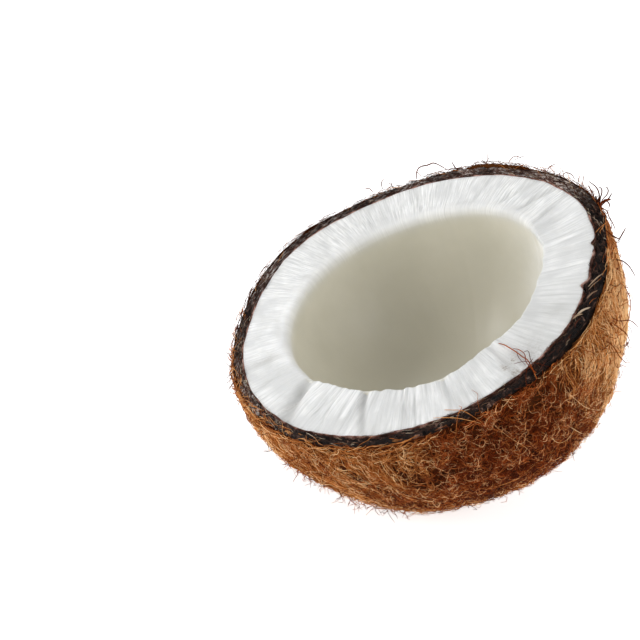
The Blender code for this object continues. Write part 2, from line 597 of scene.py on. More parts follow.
def cut_relief(turn, share):
    """Height of the cut face in metres, share running from the skin (0) to the bowl (1): fine and
    broad ridges from lattices, times how torn the cut is, less the furrows."""
    drift = turn + 0.035 * lattice(turn, share, 40, 4, 15)
    fine = 0.06 * lattice(drift, share, 400, 5, 11) + 0.12 * lattice(drift, share, 230, 3, 12)
    fine = fine * (0.75 + 0.8 * lattice(turn, share, 26, 3, 16))
    broad = 0.27 * lattice(drift, share, 118, 2, 13) + 0.45 * lattice(drift, share, 56, 2, 17)
    broad = broad + 0.45 * lattice(turn, share, 18, 1, 14)
    far_side = 0.5 + 0.5 * crispness(turn)
    soft = 1 - 0.8 * (1 - crispness(turn)) * ease((share - 0.85) / 0.15)
    height = (fine + broad) * tornness(turn) * far_side * soft
    return (height - furrows(turn, share)) * MM


print(len(FURROWS), "furrows, the deepest", max(depth for *_, depth in FURROWS), "mm")


# %% Meat surface
MEAT_COLUMNS = 800
CUT_ROWS, LIP_ROWS, WALL_ROWS = 58, 9, 43

# Radius of the lip where it is soft, how much less where it is crisp, and the wall's inset, in mm.
SOFT_LIP, CRISP_LESS, WALL_INSET = 2.4, 1.7, 2.0

# Where the bowl is wider or narrower than its outline: turn and width in degrees, size in mm.
MOUTH = ((-27, 26, 1.7), (46, 26, -1.2), (118, 30, 0.9), (5, 8, -0.8), (-89, 4, 0.5))


def bowl_mouth(turn):
    """Radius of the bowl's wall just below the lip: the outline, 2 mm in, plus hills and ripples."""
    uneven = 0.26 * ripple(turn, 110, 22) + 0.42 * ripple(turn, 36, 23)
    shape = hills(turn, *MOUTH) - uneven * (0.2 + 0.8 * crispness(turn))
    return lip_edge(turn) + (shape - WALL_INSET) * MM


def round_lip(turn, mouth, lip):
    """The lip: a quarter circle from the cut down into the wall, its height fading from the cut's."""
    swing = np.linspace(0, np.pi / 2, LIP_ROWS)[1:, None]
    sink = cut_relief(turn, np.ones((1, 1))) * np.cos(swing) ** 2
    return ring_points(mouth + lip * (1 - np.sin(swing)), turn, sink - lip * (1 - np.cos(swing)))


def bowl_wall(turn, mouth, lip):
    """The wall: a quarter ellipse from below the lip to the bottom, with a slight swell."""
    angle = np.pi / 2 * (1 - 0.985 * np.linspace(0, 1, WALL_ROWS)[1:, None] ** 1.1)
    radius = mouth * np.sin(angle)
    swell = 0.3 * MM * waves(ring_points(radius, turn, 0 * radius), 0.03, 31) * np.sin(2 * angle) ** 2
    return ring_points(radius + swell, turn, -lip - (BOWL_DEPTH - lip) * np.cos(angle))


def meat_grid():
    """Rows of the meat: outside from the pole to the cut, the cut, the lip and the bowl, then the
    numbers of the first row of the cut and of the lip."""
    turn = np.linspace(0, 2 * np.pi, MEAT_COLUMNS, endpoint=False)[None]
    side = nut_point(np.radians([6, 18, 32, 46, 60, 72, 82, 87])[:, None], turn, SKIN_OFFSET)
    lip = (SOFT_LIP - CRISP_LESS * crispness(turn)) * MM
    mouth = bowl_mouth(turn)
    share = np.linspace(0, 1, CUT_ROWS)[:, None]
    edge = broken_edge(turn)
    height = cut_relief(turn, share) * ease(share / 0.04 + 0.3)
    cut = ring_points(edge + (mouth + lip - edge) * share, turn, height)
    rows = [side, cut, round_lip(turn, mouth, lip), bowl_wall(turn, mouth, lip)]
    return np.vstack(rows), len(side), len(side) + len(cut)


grid, cut_row, bowl_row = meat_grid()
meat = layer_object("meat_body", grid)
cut_heights = grid[cut_row:bowl_row, :, 2] / MM
print("cut heights, mm:", round(cut_heights.min(), 2), "to", round(cut_heights.max(), 2))

# %% [markdown]
# ## Numbers that the meat's finish reads
#
# The meat's colour changes with its place: white ridges on the cut, grey-green down the bowl, which is
# partly painted shade, brown crumbs of shell near the skin, painted shade in the furrows and on some
# sides of the cut, and painted light on the cut's left side and on one wall of the bowl. Masks painted
# by hand would need images. Numbers stored on the points say the same, and the finish mixes its
# colours by them.

# %% Spots of crumbs, and spots of painted shadow
# Each spot: radius in mm, turn in degrees, length outwards and width round the nut in mm, strength.
CRUMBS = (
    (45.4, 2, 1.2, 0.9, 0.9),
    (49.2, 3, 1.4, 1.1, 0.8),
    (44.7, 6, 0.8, 0.7, 0.7),
    (45.5, -113, 4.0, 1.6, 0.12),
    (44.0, -84, 7.0, 0.7, 0.30),
    (47.5, 10, 6.0, 6.0, 0.25),
    (51.0, 50, 0.7, 8.0, 0.3),
)
SHADOWS = (
    (46.0, -112, 5.5, 1.5, 0.5),
    (43.5, 62, 3.5, 3.0, 0.28),
    (45.0, 33, 3.0, 3.0, 0.22),
    (43.5, 82, 5.0, 2.0, 0.3),
)


def spots(radius, turn, places):
    """Soft spots added up: strength times e to the minus squared distances outwards and aside."""
    total = np.zeros_like(radius)
    for at_radius, at_turn, long, wide, strength in places:
        out = (radius / MM - at_radius) / long
        aside = np.radians(turn_gap(turn, at_turn)) * radius / MM / wide
        total += strength * np.exp(-(out ** 2) - aside ** 2)
    return total


print(len(CRUMBS), "spots of crumbs and", len(SHADOWS), "of shadow")


# %% Numbers on the meat
# How fine the meat's threads are: round the nut and outwards.
THREADS_ROUND, THREADS_OUT = 44, 60

radius = np.hypot(grid[..., 0], grid[..., 1])
turn = np.arctan2(grid[..., 1], grid[..., 0])
sunk = np.zeros_like(radius)
sunk[bowl_row:] = -grid[bowl_row:, :, 2]
share = np.zeros_like(radius)
share[cut_row:bowl_row] = np.linspace(0, 1, bowl_row - cut_row)[:, None]
share[bowl_row:] = 1
soft_side = 1 - crispness(turn)

in_bowl = np.clip(sunk / ((2.0 + 3.0 * soft_side) * MM), 0, 1)
# How deep the wall lies; the finish darkens the wall by it, as painted shade.
deep = np.clip(sunk / BOWL_DEPTH, 0, 1)
# Where the bowl's wall is paler: one side, fading with depth. The smears are partly real and partly
# painted light where that wall is lit.
pale = hills(turn, (38, 40, 1.95)) * (sunk > 0) * np.clip(1.6 - deep * 1.3, 0, 1)
# Brown crumbs in spots, plus a band along the meat's outer edge that is partly a stain and partly
# painted shade where the shell's raised edge shades the meat.
crumbs_and_edge_shade = spots(radius, turn, CRUMBS) + 0.22 * bump_at(radius - broken_edge(turn), -0.1 * MM, 0.7 * MM)
shade = 0.42 * furrows(turn, share) + hills(turn, (-25, 38, 0.12), (24, 20, 0.34), (178, 26, 0.16))
shade = np.clip(shade + spots(radius, turn, SHADOWS), 0, 0.8) * (share > 0) * (in_bowl < 0.3)
# Where the cut is smooth its streaks give way to a plain grey, which is partly painted shade on those
# sides.
smooth = hills(turn, (CALM_SIDE, 32, 0.25)) + 0.5 * soft_side * ease((share - 0.8) / 0.2)

meat_numbers = {
    "in_bowl": in_bowl,
    "deep": deep,
    "pale": pale,
    "crumbs_and_edge_shade": np.clip(crumbs_and_edge_shade, 0, 1),
    "shade": shade,
    "smooth": np.clip(smooth, 0, 1),
    "torn": 0.6 * soft_side + hills(turn, (60, 30, 0.25)),
    # Painted light: a whiter patch on the left side of the cut, where the light falls.
    "bright": hills(turn, (-124, 30, 0.4)) * (share > 0),
    "grain": ring_points(THREADS_ROUND + 0 * radius, turn, radius * THREADS_OUT),
}
for name, values in meat_numbers.items():
    give(meat, name, with_ends(values))
print("numbers on the meat:", ", ".join(meat_numbers))

# %% [markdown]
# ## The meat's finish
#
# Fresh coconut meat is white, and light goes a little way into it, so it glows at the thin lip. Plain
# white would look like plaster. Noise stretched along the radius gives pale and grey threads, soft
# clouds break them up, and the wet wall of the bowl is smoother. The wall's grey-green cream is partly
# painted shade, and it turns darker and greener the deeper it lies, which is painted shade too.


# %% Meat finish
def cut_colour(tree, grain):
    """White in radial streaks: noise on the grain coordinates, mixed towards plain white and grey. Some
    of the grey is painted shade, and the white on the left is painted light.
    """
    streaks = ramp_of(tree, noise_of(tree, grain, 1.0, 5.0, 0.58), (
        (0.32, (0.52, 0.525, 0.52)),
        (0.42, (0.66, 0.665, 0.66)),
        (0.52, (0.76, 0.765, 0.76)),
        (0.64, (0.87, 0.87, 0.865)),
    ))
    threads = ramp_of(tree, noise_of(tree, grain, 2.7, 4.0, 0.62), (
        (0.36, (0.49, 0.495, 0.49)),
        (0.49, (0.70, 0.705, 0.695)),
        (0.60, (0.93, 0.93, 0.92)),
    ))
    place = object_place(tree)
    white = mixed(tree, attribute_of(tree, "torn"), streaks, threads)
    # Plain grey where the cut is smooth, partly painted shade.
    white = mixed(tree, attribute_of(tree, "smooth"), white, (0.71, 0.71, 0.695))
    # Painted light: whiter on the left side of the cut.
    white = mixed(tree, attribute_of(tree, "bright"), white, (0.95, 0.955, 0.955))
    cloud = ranged(tree, noise_of(tree, place, 95.0, 3.0, 0.5), 0.40, 0.62, 0.0, 0.75)
    white = mixed(tree, cloud, white, (0.60, 0.605, 0.60))
    white = mixed(tree, attribute_of(tree, "shade"), white, (0.46, 0.46, 0.445))
    crumbs = ranged(tree, noise_of(tree, place, 1500.0, 3.0), 0.42, 0.62, 0.15, 1.0)
    # Brown crumbs, and a band along the skin that is partly stain and partly painted shade.
    crumbs_and_shade = combined(tree, "MULTIPLY", crumbs, attribute_of(tree, "crumbs_and_edge_shade"))
    return mixed(tree, crumbs_and_shade, white, (0.20, 0.155, 0.11))


def wall_colour(tree):
    """The wet wall: patchy cream, partly painted shade; darker with depth, which is painted shade; and
    lighter smears where it is pale, partly real and partly painted light.
    """
    place = object_place(tree)
    patches = noise_of(tree, place, 60.0, 3.0)
    wall = ramp_of(tree, patches, ((0.3, (0.56, 0.535, 0.435)), (0.7, (0.63, 0.60, 0.495))))
    # Painted shade: the wall darker the deeper it lies.
    depth = ranged(tree, attribute_of(tree, "deep"), 0.15, 0.85, 0.0, 0.75)
    wall = mixed(tree, depth, wall, (0.40, 0.375, 0.295))
    smears = ranged(tree, noise_of(tree, place, 110.0, 5.0, 0.6), 0.36, 0.62, 0.60, 1.0)
    # Lighter smears on the pale side: partly real, partly painted light.
    smears_and_light = combined(tree, "MULTIPLY", smears, attribute_of(tree, "pale"))
    return mixed(tree, smears_and_light, wall, (0.985, 0.985, 0.975))


def meat_finish():
    """The cut's white turning into the wall's cream over the lip, with light passing into both."""
    finish, tree, shader = new_finish("coconut_meat", 0.5, 0.3)
    grain = attribute_of(tree, "grain", "Vector")
    in_bowl = attribute_of(tree, "in_bowl")
    share = ramp_of(tree, in_bowl, (
        (0.0, (0, 0, 0)), (0.3, (0.35, 0.35, 0.35)), (0.65, (0.82, 0.82, 0.82)), (1.0, (1, 1, 1)),
    ))
    colour = mixed(tree, share, cut_colour(tree, grain), wall_colour(tree))
    tree.links.new(colour, shader.inputs["Base Color"])
    tree.links.new(ranged(tree, in_bowl, 0.1, 0.8, 0.55, 0.38), shader.inputs["Roughness"])
    shader.inputs["Subsurface Weight"].default_value = 0.45
    shader.inputs["Subsurface Radius"].default_value = (1.0, 0.95, 0.85)
    shader.inputs["Subsurface Scale"].default_value = 0.0011
    fade = ranged(tree, in_bowl, 0.0, 0.3, 1.0, 0.03)
    threads = combined(tree, "MULTIPLY", noise_of(tree, grain, 3.0, 4.0, 0.6), fade)
    bumped(tree, shader, threads, 0.5, 0.0005)
    return finish


hand_over(meat, "meat", meat_finish())

# %% [markdown]
# ## The brown skin
#
# Between meat and shell lies a thin brown skin, the seed's coat, seen on the cut as a fine uneven line.
# It could be a line of colour on the meat. As its own layer it has a real edge that stands a little
# above and below the cut, and it covers the outside of the meat as the CAD solid does.

# %% Brown skin
SKIN_COLUMNS = 600
SKIN_WALL = 0.45 * MM
SKIN_GAP = 0.06 * MM


def skin_grid():
    """The skin's outside up to the cut, its edge as a small section, and back down its inside. Each
    row of the edge is a share of the wall out from the meat and a height in mm."""
    turn = np.linspace(0, 2 * np.pi, SKIN_COLUMNS, endpoint=False)[None]
    angle = np.radians([5, 20, 38, 56, 72, 84])[:, None]
    lift = 0.15 * ripple(turn, 220, 41) + 0.05
    thick = SKIN_WALL * (1 + 0.6 * ripple(turn, 150, 42))
    rise = ((1.0, -1.2), (1.0, -0.1), (0.75, lift))
    fall = ((0.4, lift + 0.05), (0.08, lift - 0.1), (0.06, -1.2))
    inner = broken_edge(turn)
    edge = [ring_points(inner + thick * out, turn, height * MM) for out, height in rise + fall]
    outside = nut_point(angle, turn, SKIN_OFFSET + SKIN_WALL)
    inside = nut_point(angle[::-1], turn, SKIN_OFFSET + SKIN_GAP)
    return np.concatenate([outside, *edge, inside])


def skin_finish():
    """Mottled from dark brown to a dull pink-brown by one noise, which also makes it uneven."""
    finish, tree, shader = new_finish("brown_skin", 0.65, 0.15)
    mottle = noise_of(tree, object_place(tree), 240.0, 5.0, 0.65)
    colour = ramp_of(tree, mottle, (
        (0.38, (0.030, 0.012, 0.009)),
        (0.50, (0.095, 0.038, 0.026)),
        (0.58, (0.30, 0.155, 0.12)),
        (0.70, (0.55, 0.38, 0.32)),
    ))
    tree.links.new(colour, shader.inputs["Base Color"])
    bumped(tree, shader, mottle, 0.4, 0.0003)
    return finish


skin = layer_object("brown_skin_layer", skin_grid())
hand_over(skin, "brown_skin", skin_finish())

# %% [markdown]
# ## The hard shell
#
# The shell is the dark, hard wall. The saw leaves its edge rough: chipped outwards, torn along its
# fibres and nearly black, with raw grey-pink wood on the far side. A smooth ring with a noisy bump
# would show a clean outline. So the rows of the grid run over the edge itself, and lattices chip its
# outline, dent its side and roughen its top.

# %% Shell surface
SHELL_COLUMNS = 1080
EDGE_ROWS = 20
INNER_GAP = 0.05 * MM


def shell_side(turn):
    """The outside: smooth rows under the husk, then dented rows up to the cut."""
    low = nut_point(np.radians([4, 14, 26, 38, 50, 60, 68, 75])[:, None], turn, 0.0)
    share = np.linspace(0, 1, 14)[:, None]
    dents = 0.20 * lattice(turn, share, 300, 10, 51) + 0.30 * lattice(turn, share, 110, 5, 52)
    high = nut_point(np.radians(79 + 10.4 * share), turn, (dents - 0.3) * MM * ease(share * 1.5))
    return [low, high]


def shell_top(turn):
    """The sawn edge: rows from the chipped outline in to the skin, rough heights less a shoulder at
    each side."""
    chips = 0.35 * ripple(turn, 240, 53) + 0.45 * ripple(turn, 70, 54)
    out_edge = shell_edge(turn) + swelling(turn) + (0.1 + 0.55 * chips) * MM
    in_edge = broken_edge(turn) + SKIN_WALL
    step = np.linspace(0, 1, EDGE_ROWS)[:, None]
    rough = 0.34 * lattice(turn, step, 420, 7, 55) + 0.55 * lattice(turn, step, 150, 5, 56)
    rough = rough + 0.40 * lattice(turn, step, 36, 2, 57) - 0.3
    shoulder = 0.9 * (1 - ease(step / 0.22)) + 0.3 * (1 - ease((1 - step) / 0.12))
    return ring_points(out_edge + (in_edge - out_edge) * step, turn, (rough - shoulder) * MM)


def shell_grid():
    """Rows of the shell: outside from the pole to the cut, the sawn edge, and down the inside."""
    turn = np.linspace(0, 2 * np.pi, SHELL_COLUMNS, endpoint=False)[None]
    down = np.radians([88, 82, 72, 58, 42, 26, 12, 4])[:, None]
    inside = nut_point(down, turn, SKIN_OFFSET + SKIN_WALL + INNER_GAP)
    return np.concatenate([*shell_side(turn), shell_top(turn), inside])


grid = shell_grid()
shell = layer_object("shell_body", grid)
print("shell:", grid.shape[0], "rows of", grid.shape[1], "points")


# %% Numbers on the shell
# How fine the shell's threads are: round the nut, and outwards and down.
GRAIN_ROUND, GRAIN_ACROSS = 22, 1500

# Where the sawn wood is raw: turn and width in degrees, strength.
RAW_SIDES = ((110, 28, 1.15), (-166, 20, 0.7), (66, 16, -0.5), (-108, 22, 0.7), (150, 24, 0.6))

radius = np.hypot(grid[..., 0], grid[..., 1])
turn = np.arctan2(grid[..., 1], grid[..., 0])
across = (radius + grid[..., 2]) * GRAIN_ACROSS
give(shell, "grain", with_ends(ring_points(GRAIN_ROUND + 0 * radius, turn, across)))
raw = np.clip(hills(turn, *RAW_SIDES) * (0.75 + 0.7 * ripple(turn, 60, 58)), 0, 1)
give(shell, "raw", with_ends(raw))
print("raw wood on", round(100 * float((raw[0] > 0.5).mean())), "percent of the shell's edge")


# %% Shell finish
def shell_finish():
    """Near black with brown streaks along the shell, mixed with raw wood where the saw left it. The
    dark streaks are glossier, and a finer noise roughens them all."""
    finish, tree, shader = new_finish("hard_shell", 0.5, 0.13)
    grain = attribute_of(tree, "grain", "Vector")
    streaks = noise_of(tree, grain, 1.0, 6.0, 0.75)
    black = ramp_of(tree, streaks, (
        (0.40, (0.0020, 0.0014, 0.0013)),
        (0.50, (0.009, 0.005, 0.004)),
        (0.57, (0.050, 0.024, 0.016)),
        (0.65, (0.26, 0.155, 0.115)),
    ))
    wood = ramp_of(tree, noise_of(tree, grain, 1.45, 5.0, 0.7), (
        (0.40, (0.030, 0.012, 0.009)),
        (0.48, (0.14, 0.068, 0.052)),
        (0.54, (0.33, 0.235, 0.195)),
        (0.59, (0.92, 0.86, 0.81)),
    ))
    tree.links.new(mixed(tree, attribute_of(tree, "raw"), black, wood), shader.inputs["Base Color"])
    tree.links.new(ranged(tree, streaks, 0.35, 0.6, 0.22, 0.75), shader.inputs["Roughness"])
    bumped(tree, shader, noise_of(tree, grain, 2.2, 6.0, 0.75), 1.0, 0.0009)
    return finish


hand_over(shell, "hard_shell", shell_finish())

# %% [markdown]
# ## The husk's felt
#
# Peeling leaves a coat of husk on the shell: thick at the pole, thin at the rim. Under its loose
# fibres lies a dense dark mat. Fibres alone would need far more strands to hide the shell, so the mat
# is a lumpy layer of its own, sunk a little below the fibres and seen only between them.

# %% How thick the husk is
# In mm: at the pole, how much less at the side, at its upper edge, and how far below the edge it
# begins to thin.
AT_POLE, SIDE_LESS, AT_EDGE, TAPER = 4.1, 2.0, 0.9, 9

# The husk's upper edge: turn and width in degrees, and how far it is above its usual place in mm.
UPPER_EDGE = ((26, 22, -2.8), (124, 13, 1.3), (-165, 22, 0.5))

# Where the husk is fuller or thinner: angle from the pole and turn in degrees, size in radians, mm.
FULLNESS = ((76, 68, 0.25, -1.5), (46, 28, 0.24, 1.2), (36, -30, 0.22, -0.7))


def husk_top(turn):
    """How far below the cut the husk ends, in metres: 0.65 mm, less the hills above, plus chance."""
    return (0.65 - hills(turn, *UPPER_EDGE) + 0.45 * ripple(turn, 70, 63)) * MM


def top_angle(turn):
    """Angle from the pole of the husk's upper edge: the arc cosine of its depth over the shell's."""
    return np.arccos(husk_top(turn) / DEPTH)


def coat(angle, turn):
    """Thickness of the husk: thick at the pole, thin at its upper edge, as in the CAD solid, with a
    few soft hills and hollows of its own."""
    thick = AT_POLE - SIDE_LESS * ease(angle / np.radians(64))
    near_top = 1 - ease((DEPTH * np.cos(angle) - husk_top(turn)) / (TAPER * MM))
    thick = thick + (AT_EDGE - thick) * near_top
    for at_angle, at_turn, size, height in FULLNESS:
        aside = np.radians(turn_gap(turn, at_turn)) * np.sin(angle)
        apart = np.hypot(angle - np.radians(at_angle), aside)
        thick = thick + height * np.exp(-((apart / size) ** 2))
    return thick * MM


def combed_flat(turn, angle):
    """How flat the coat lies, from 0 to 1: flat near the rim on the far side, eased towards both."""
    return ease((np.cos(turn - np.radians(150)) + 0.25) / 0.35) * ease((angle - np.radians(70)) / 0.25)


measured = coat(np.radians([0, 45, 85]), np.zeros(3)) / MM
print("husk at the pole, half way up and near the rim, mm:", np.round(measured, 2))


# %% Felt
FELT_SUNK = 0.9 * MM
FELT_COLUMNS, FELT_ROWS = 420, 96

felt_turn = np.linspace(0, 2 * np.pi, FELT_COLUMNS, endpoint=False)[None]


def felt_grid(turn):
    """The mat from pole to upper edge, the coat's thickness less the sinking plus lumps, and then
    back down its inside."""
    angle = np.linspace(0.03, 1, FELT_ROWS)[:, None] * top_angle(turn)
    place = nut_point(angle, turn, 0.0)
    lumps = 0.25 * waves(place, 0.006, 61) + 0.3 * waves(place, 0.017, 62)
    lying = combed_flat(turn, angle)
    cover = coat(angle, turn) - FELT_SUNK + (lumps * (1 - 0.75 * lying) - 0.25 * lying) * MM
    out = nut_point(angle, turn, np.maximum(cover, (0.3 - 0.25 * lying) * MM))
    back = np.array([1.0, 0.8, 0.6, 0.4, 0.2, 0.05])[:, None] * top_angle(turn)
    return np.concatenate([out, nut_point(back, turn, 0.02 * MM)])


def felt_finish():
    """Dark red-brown, blotched and rough by one noise, lighter on the golden side."""
    finish, tree, shader = new_finish("husk_felt", 0.9, 0.03)
    clots = noise_of(tree, object_place(tree), 260.0, 6.0, 0.7)
    colour = ramp_of(tree, clots, (
        (0.3, (0.010, 0.0022, 0.0006)),
        (0.6, (0.055, 0.014, 0.0035)),
        (0.85, (0.15, 0.045, 0.011)),
    ))
    colour = mixed(tree, attribute_of(tree, "gold"), colour, (0.36, 0.13, 0.034))
    tree.links.new(colour, shader.inputs["Base Color"])
    bumped(tree, shader, clots, 1.0, 0.001)
    return finish


grid = felt_grid(felt_turn)
felt = layer_object("husk_felt", grid)
gold = np.repeat(hills(felt_turn, (52, 26, 0.8), (124, 13, 0.14)), len(grid), 0)
give(felt, "gold", with_ends(gold))
hand_over(felt, "husk_fibre", felt_finish())

# %% [markdown]
# ## Fibres as arrays
#
# Coir is stiff single fibres, each two or three hairs thick. A particle system would draw them, but
# it leaves nothing to export. Here each strand is a real three-sided tube with pointed ends, which is
# only a few dozen faces. All strands of a piece are worked out at once as arrays: strands by steps
# along each strand. A strand starts on the husk, heads along the surface, and its heading swings as a
# bend plus a wave. Adding up the small steps gives its path in the flat, and rolling that flat path
# onto the nut gives its place.

# %% Paths over the nut
STEPS = 8
SHORT_STEPS = 5
CURL_STEPS = 6
SIDES = 3


def turn_of(ways):
    """The turn of each direction from the middle: the angle of its x and y."""
    return np.arctan2(ways[..., 1], ways[..., 0])


def angle_of(ways):
    """The angle of each direction from the pole: the arc cosine of how far it points down."""
    return np.arccos(np.clip(-ways[..., 2], -1, 1))


def way_at(angle, turn):
    """The direction from the middle at an angle from the pole and a turn, both in degrees."""
    angle, turn = np.radians(angle), np.radians(turn)
    return np.array([np.sin(angle) * np.cos(turn), np.sin(angle) * np.sin(turn), -np.cos(angle)])


def roll_on(start, heading, along, aside):
    """Rolls a flat path onto the unit sphere: from a start, along a heading, aside to its left. A
    point keeps its distance and its direction from the start."""
    left = np.cross(start, heading)
    reach = np.hypot(along, aside)
    way = along[..., None] * heading[:, None] + aside[..., None] * left[:, None]
    way /= np.maximum(reach, 1e-9)[..., None]
    return np.cos(reach)[..., None] * start[:, None] + np.sin(reach)[..., None] * way


def flat_path(length, bend, wave, pitch, phase, steps=STEPS):
    """Flat paths, strands by steps: the heading is bend times s plus wave times a sine of s."""
    s = np.linspace(0, 1, steps)[None] * length[:, None]
    swing = bend[:, None] * s + wave[:, None] * np.sin(2 * np.pi * s / pitch[:, None] + phase[:, None])
    step = length[:, None] / (steps - 1)
    along = np.cumsum(np.cos(swing) * step, 1) - np.cos(swing[:, :1]) * step
    aside = np.cumsum(np.sin(swing) * step, 1) - np.sin(swing[:, :1]) * step
    return along, aside


def wandering(rng, ways, heading, length, bend, wave, pitch, steps=STEPS):
    """Strands over the unit sphere from each way along its heading. Each strand's bend is normal
    chance times bend, and its wave and its pitch in mm lie between the two values given."""
    count = len(ways)
    along, aside = flat_path(
        length,
        rng.normal(0, 1, count) * bend,
        rng.uniform(*wave, count),
        rng.uniform(*pitch, count) * MM,
        rng.uniform(0, 6.28, count),
        steps,
    )
    return roll_on(ways, heading, along / RIM, aside / RIM)


print("a strand has", 2 * SIDES * (STEPS - 1) + 2 * SIDES, "triangles")


# %% [markdown]
# ## What the coat is like, place by place
#
# The coat isn't the same all round: matted and red at the front, combed and golden on one side, in
# ridges that follow the fibres, with darker and lighter patches. Placing strands by hand would never
# end. A few soft spots and noises say what the coat is like at any place, and every strand asks them.

# %% Matted and lighter spots
# Soft spots of the coat: angle from the pole and turn in degrees, size in radians, and strength.
MATTED = (
    (78, -13, 0.27, 1), (86, -20, 0.18, 1), (86, 4, 0.14, 0.8), (62, 2, 0.27, 1),
    (64, -22, 0.22, 1), (54, 12, 0.22, 0.8), (70, 160, 0.3, 1),
)
DULL = (54, -34, 0.30, -0.09)
LIGHTER = (
    (76, -23, 0.24, 0.18), (80, 24, 0.24, 0.14), DULL, (84, -6, 0.20, 0.06),
    (62, -4, 0.2, -0.13), (70, -66, 0.2, -0.07), (46, 0, 0.25, -0.09), (82, -62, 0.16, 0.05),
)


def in_spots(ways, places):
    """Soft round spots added up: strength times e to the minus squared distance in sizes."""
    total = np.zeros(ways.shape[:-1])
    for angle, turn, size, strength in places:
        apart = np.arccos(np.clip(ways @ way_at(angle, turn), -1, 1))
        total += strength * np.exp(-((apart / size) ** 2))
    return total


def tangle(ways):
    """How matted and red the coat is, from 0 to 1."""
    return np.clip(in_spots(ways, MATTED), 0, 1)


def clumps(ways):
    """Tufts of the coat, about -1 to 1: lumps where it is matted, ridges along the fibres elsewhere,
    each share weighted by how matted it is."""
    turn, angle = turn_of(ways), angle_of(ways)
    drift = turn + hills(turn, (-82, 42, 0.7)) * (angle - np.pi / 2)
    level = angle / 1.7
    ridges = 0.8 * lattice(drift, level, 70, 5, 75) + 0.5 * lattice(drift, level, 150, 9, 76)
    lumps = 0.8 * waves(ways, 0.13, 77) + 0.4 * waves(ways, 0.06, 78)
    matted = 0.2 + 0.8 * tangle(ways)
    return ridges * (1 - matted) + 1.35 * lumps * matted


def flow(ways):
    """How far the fibres turn aside from the way to the pole, in radians: hills plus soft noise."""
    sweep = hills(turn_of(ways), (-82, 42, 0.55), (45, 30, -0.12))
    return sweep + 0.30 * waves(ways, 0.38, 71) + 0.16 * waves(ways, 0.14, 72)


front_and_side = np.array([way_at(78, -13), way_at(78, 60)])
print("matted at the front and on the golden side:", np.round(tangle(front_and_side), 2))


# %% Tone and redness
def base_tone(ways):
    """Lighter and darker sides of the coat: hills, spots and noise, less where it is matted."""
    sides = 0.03 + hills(turn_of(ways), (55, 30, 0.47), (-90, 36, 0.12)) + in_spots(ways, LIGHTER)
    return sides + 0.06 * waves(ways, 0.25, 73) + 0.15 * clumps(ways) - 0.14 * tangle(ways)


def redness(rng, ways):
    """How red a strand is: most in the matted patches, least on the golden sides, plus chance."""
    golden = hills(turn_of(ways), (42, 32, 0.45), (-95, 50, 0.30))
    spread = 0.20 * waves(ways, 0.4, 74) + rng.normal(0, 0.18, len(ways)) - 2 * in_spots(ways, (DULL,))
    return np.clip(0.32 + 1.0 * tangle(ways) - golden + spread, 0, 1)


def mixed_tones(rng, count, dark, light, share):
    """Tones of which a share are light and the rest dark, each spread a little by normal chance."""
    is_light = rng.uniform(0, 1, count) < share
    return np.where(is_light, rng.normal(light, 0.09, count), rng.normal(dark, 0.13, count))


print("tone at the front and on the golden side:", np.round(base_tone(front_and_side), 2))


# %% Where strands start and lie
CLUMP_HEIGHT = 0.45
LYING_HEIGHT = 0.22


def start_ways(rng, count, low, high):
    """Directions spread evenly over the husk between two angles from the pole: an even height on a
    sphere gives an even spread."""
    level = rng.uniform(np.cos(high), np.cos(low), 2 * count)
    turn = rng.uniform(-np.pi, np.pi, 2 * count)
    covered = np.arccos(level) < top_angle(turn)
    level, turn = level[covered][:count], turn[covered][:count]
    return ring_points(np.sqrt(1 - level ** 2), turn, -level)


def chosen(rng, values, wanted):
    """The values that chance keeps, each with its own wanted share."""
    return values[rng.uniform(0, 1, len(values)) < wanted]


def to_pole(ways, aside):
    """Headings along the surface to the pole, turned aside by an angle about the surface's upright:
    cos times the heading plus sin times its left."""
    down = np.array([0.0, 0.0, -1.0])
    heading = down - (ways @ down)[:, None] * ways
    heading = heading / np.maximum(np.linalg.norm(heading, axis=1, keepdims=True), 1e-9)
    return np.cos(aside)[:, None] * heading + np.sin(aside)[:, None] * np.cross(ways, heading)


def husk_place(way, height, over=0.012, flat=0.72):
    """Place on the husk for a direction from the middle, at a height above the felt: the coat's
    thickness plus height plus clumps, pressed flat where the coat lies flat."""
    turn, angle = turn_of(way), angle_of(way)
    lying = flat * combed_flat(turn, angle)
    height = (height + CLUMP_HEIGHT * clumps(way) * MM) * (1 - lying) + LYING_HEIGHT * MM * lying
    angle = np.minimum(angle, top_angle(turn) + over)
    cover = coat(np.minimum(angle, top_angle(turn)), turn)
    return nut_point(angle, turn, cover - FELT_SUNK + height)


def tapered(thickness, steps=STEPS):
    """Strand radii in metres from the middle's in mm: 0.4 at the ends, rising as a sine to 1."""
    s = np.linspace(0, 1, steps)[None]
    return thickness[:, None] * (0.4 + 0.6 * np.sin(np.pi * np.clip(s, 0.03, 0.97)) ** 0.6) * MM


print("radii along a strand, in mm:", np.round(tapered(np.array([0.1]))[0] / MM, 3))


# %% [markdown]
# ## Tubes
#
# A curve with a bevel would make a tube too, but each of many thousands of strands would need its own
# curve. Here arrays make them all at once: three points stand round each step of a path, on its side
# and its rise, and one point closes each end. Each piece also gets a flat map, with one small cell
# for each strand, so that its colours can be baked.


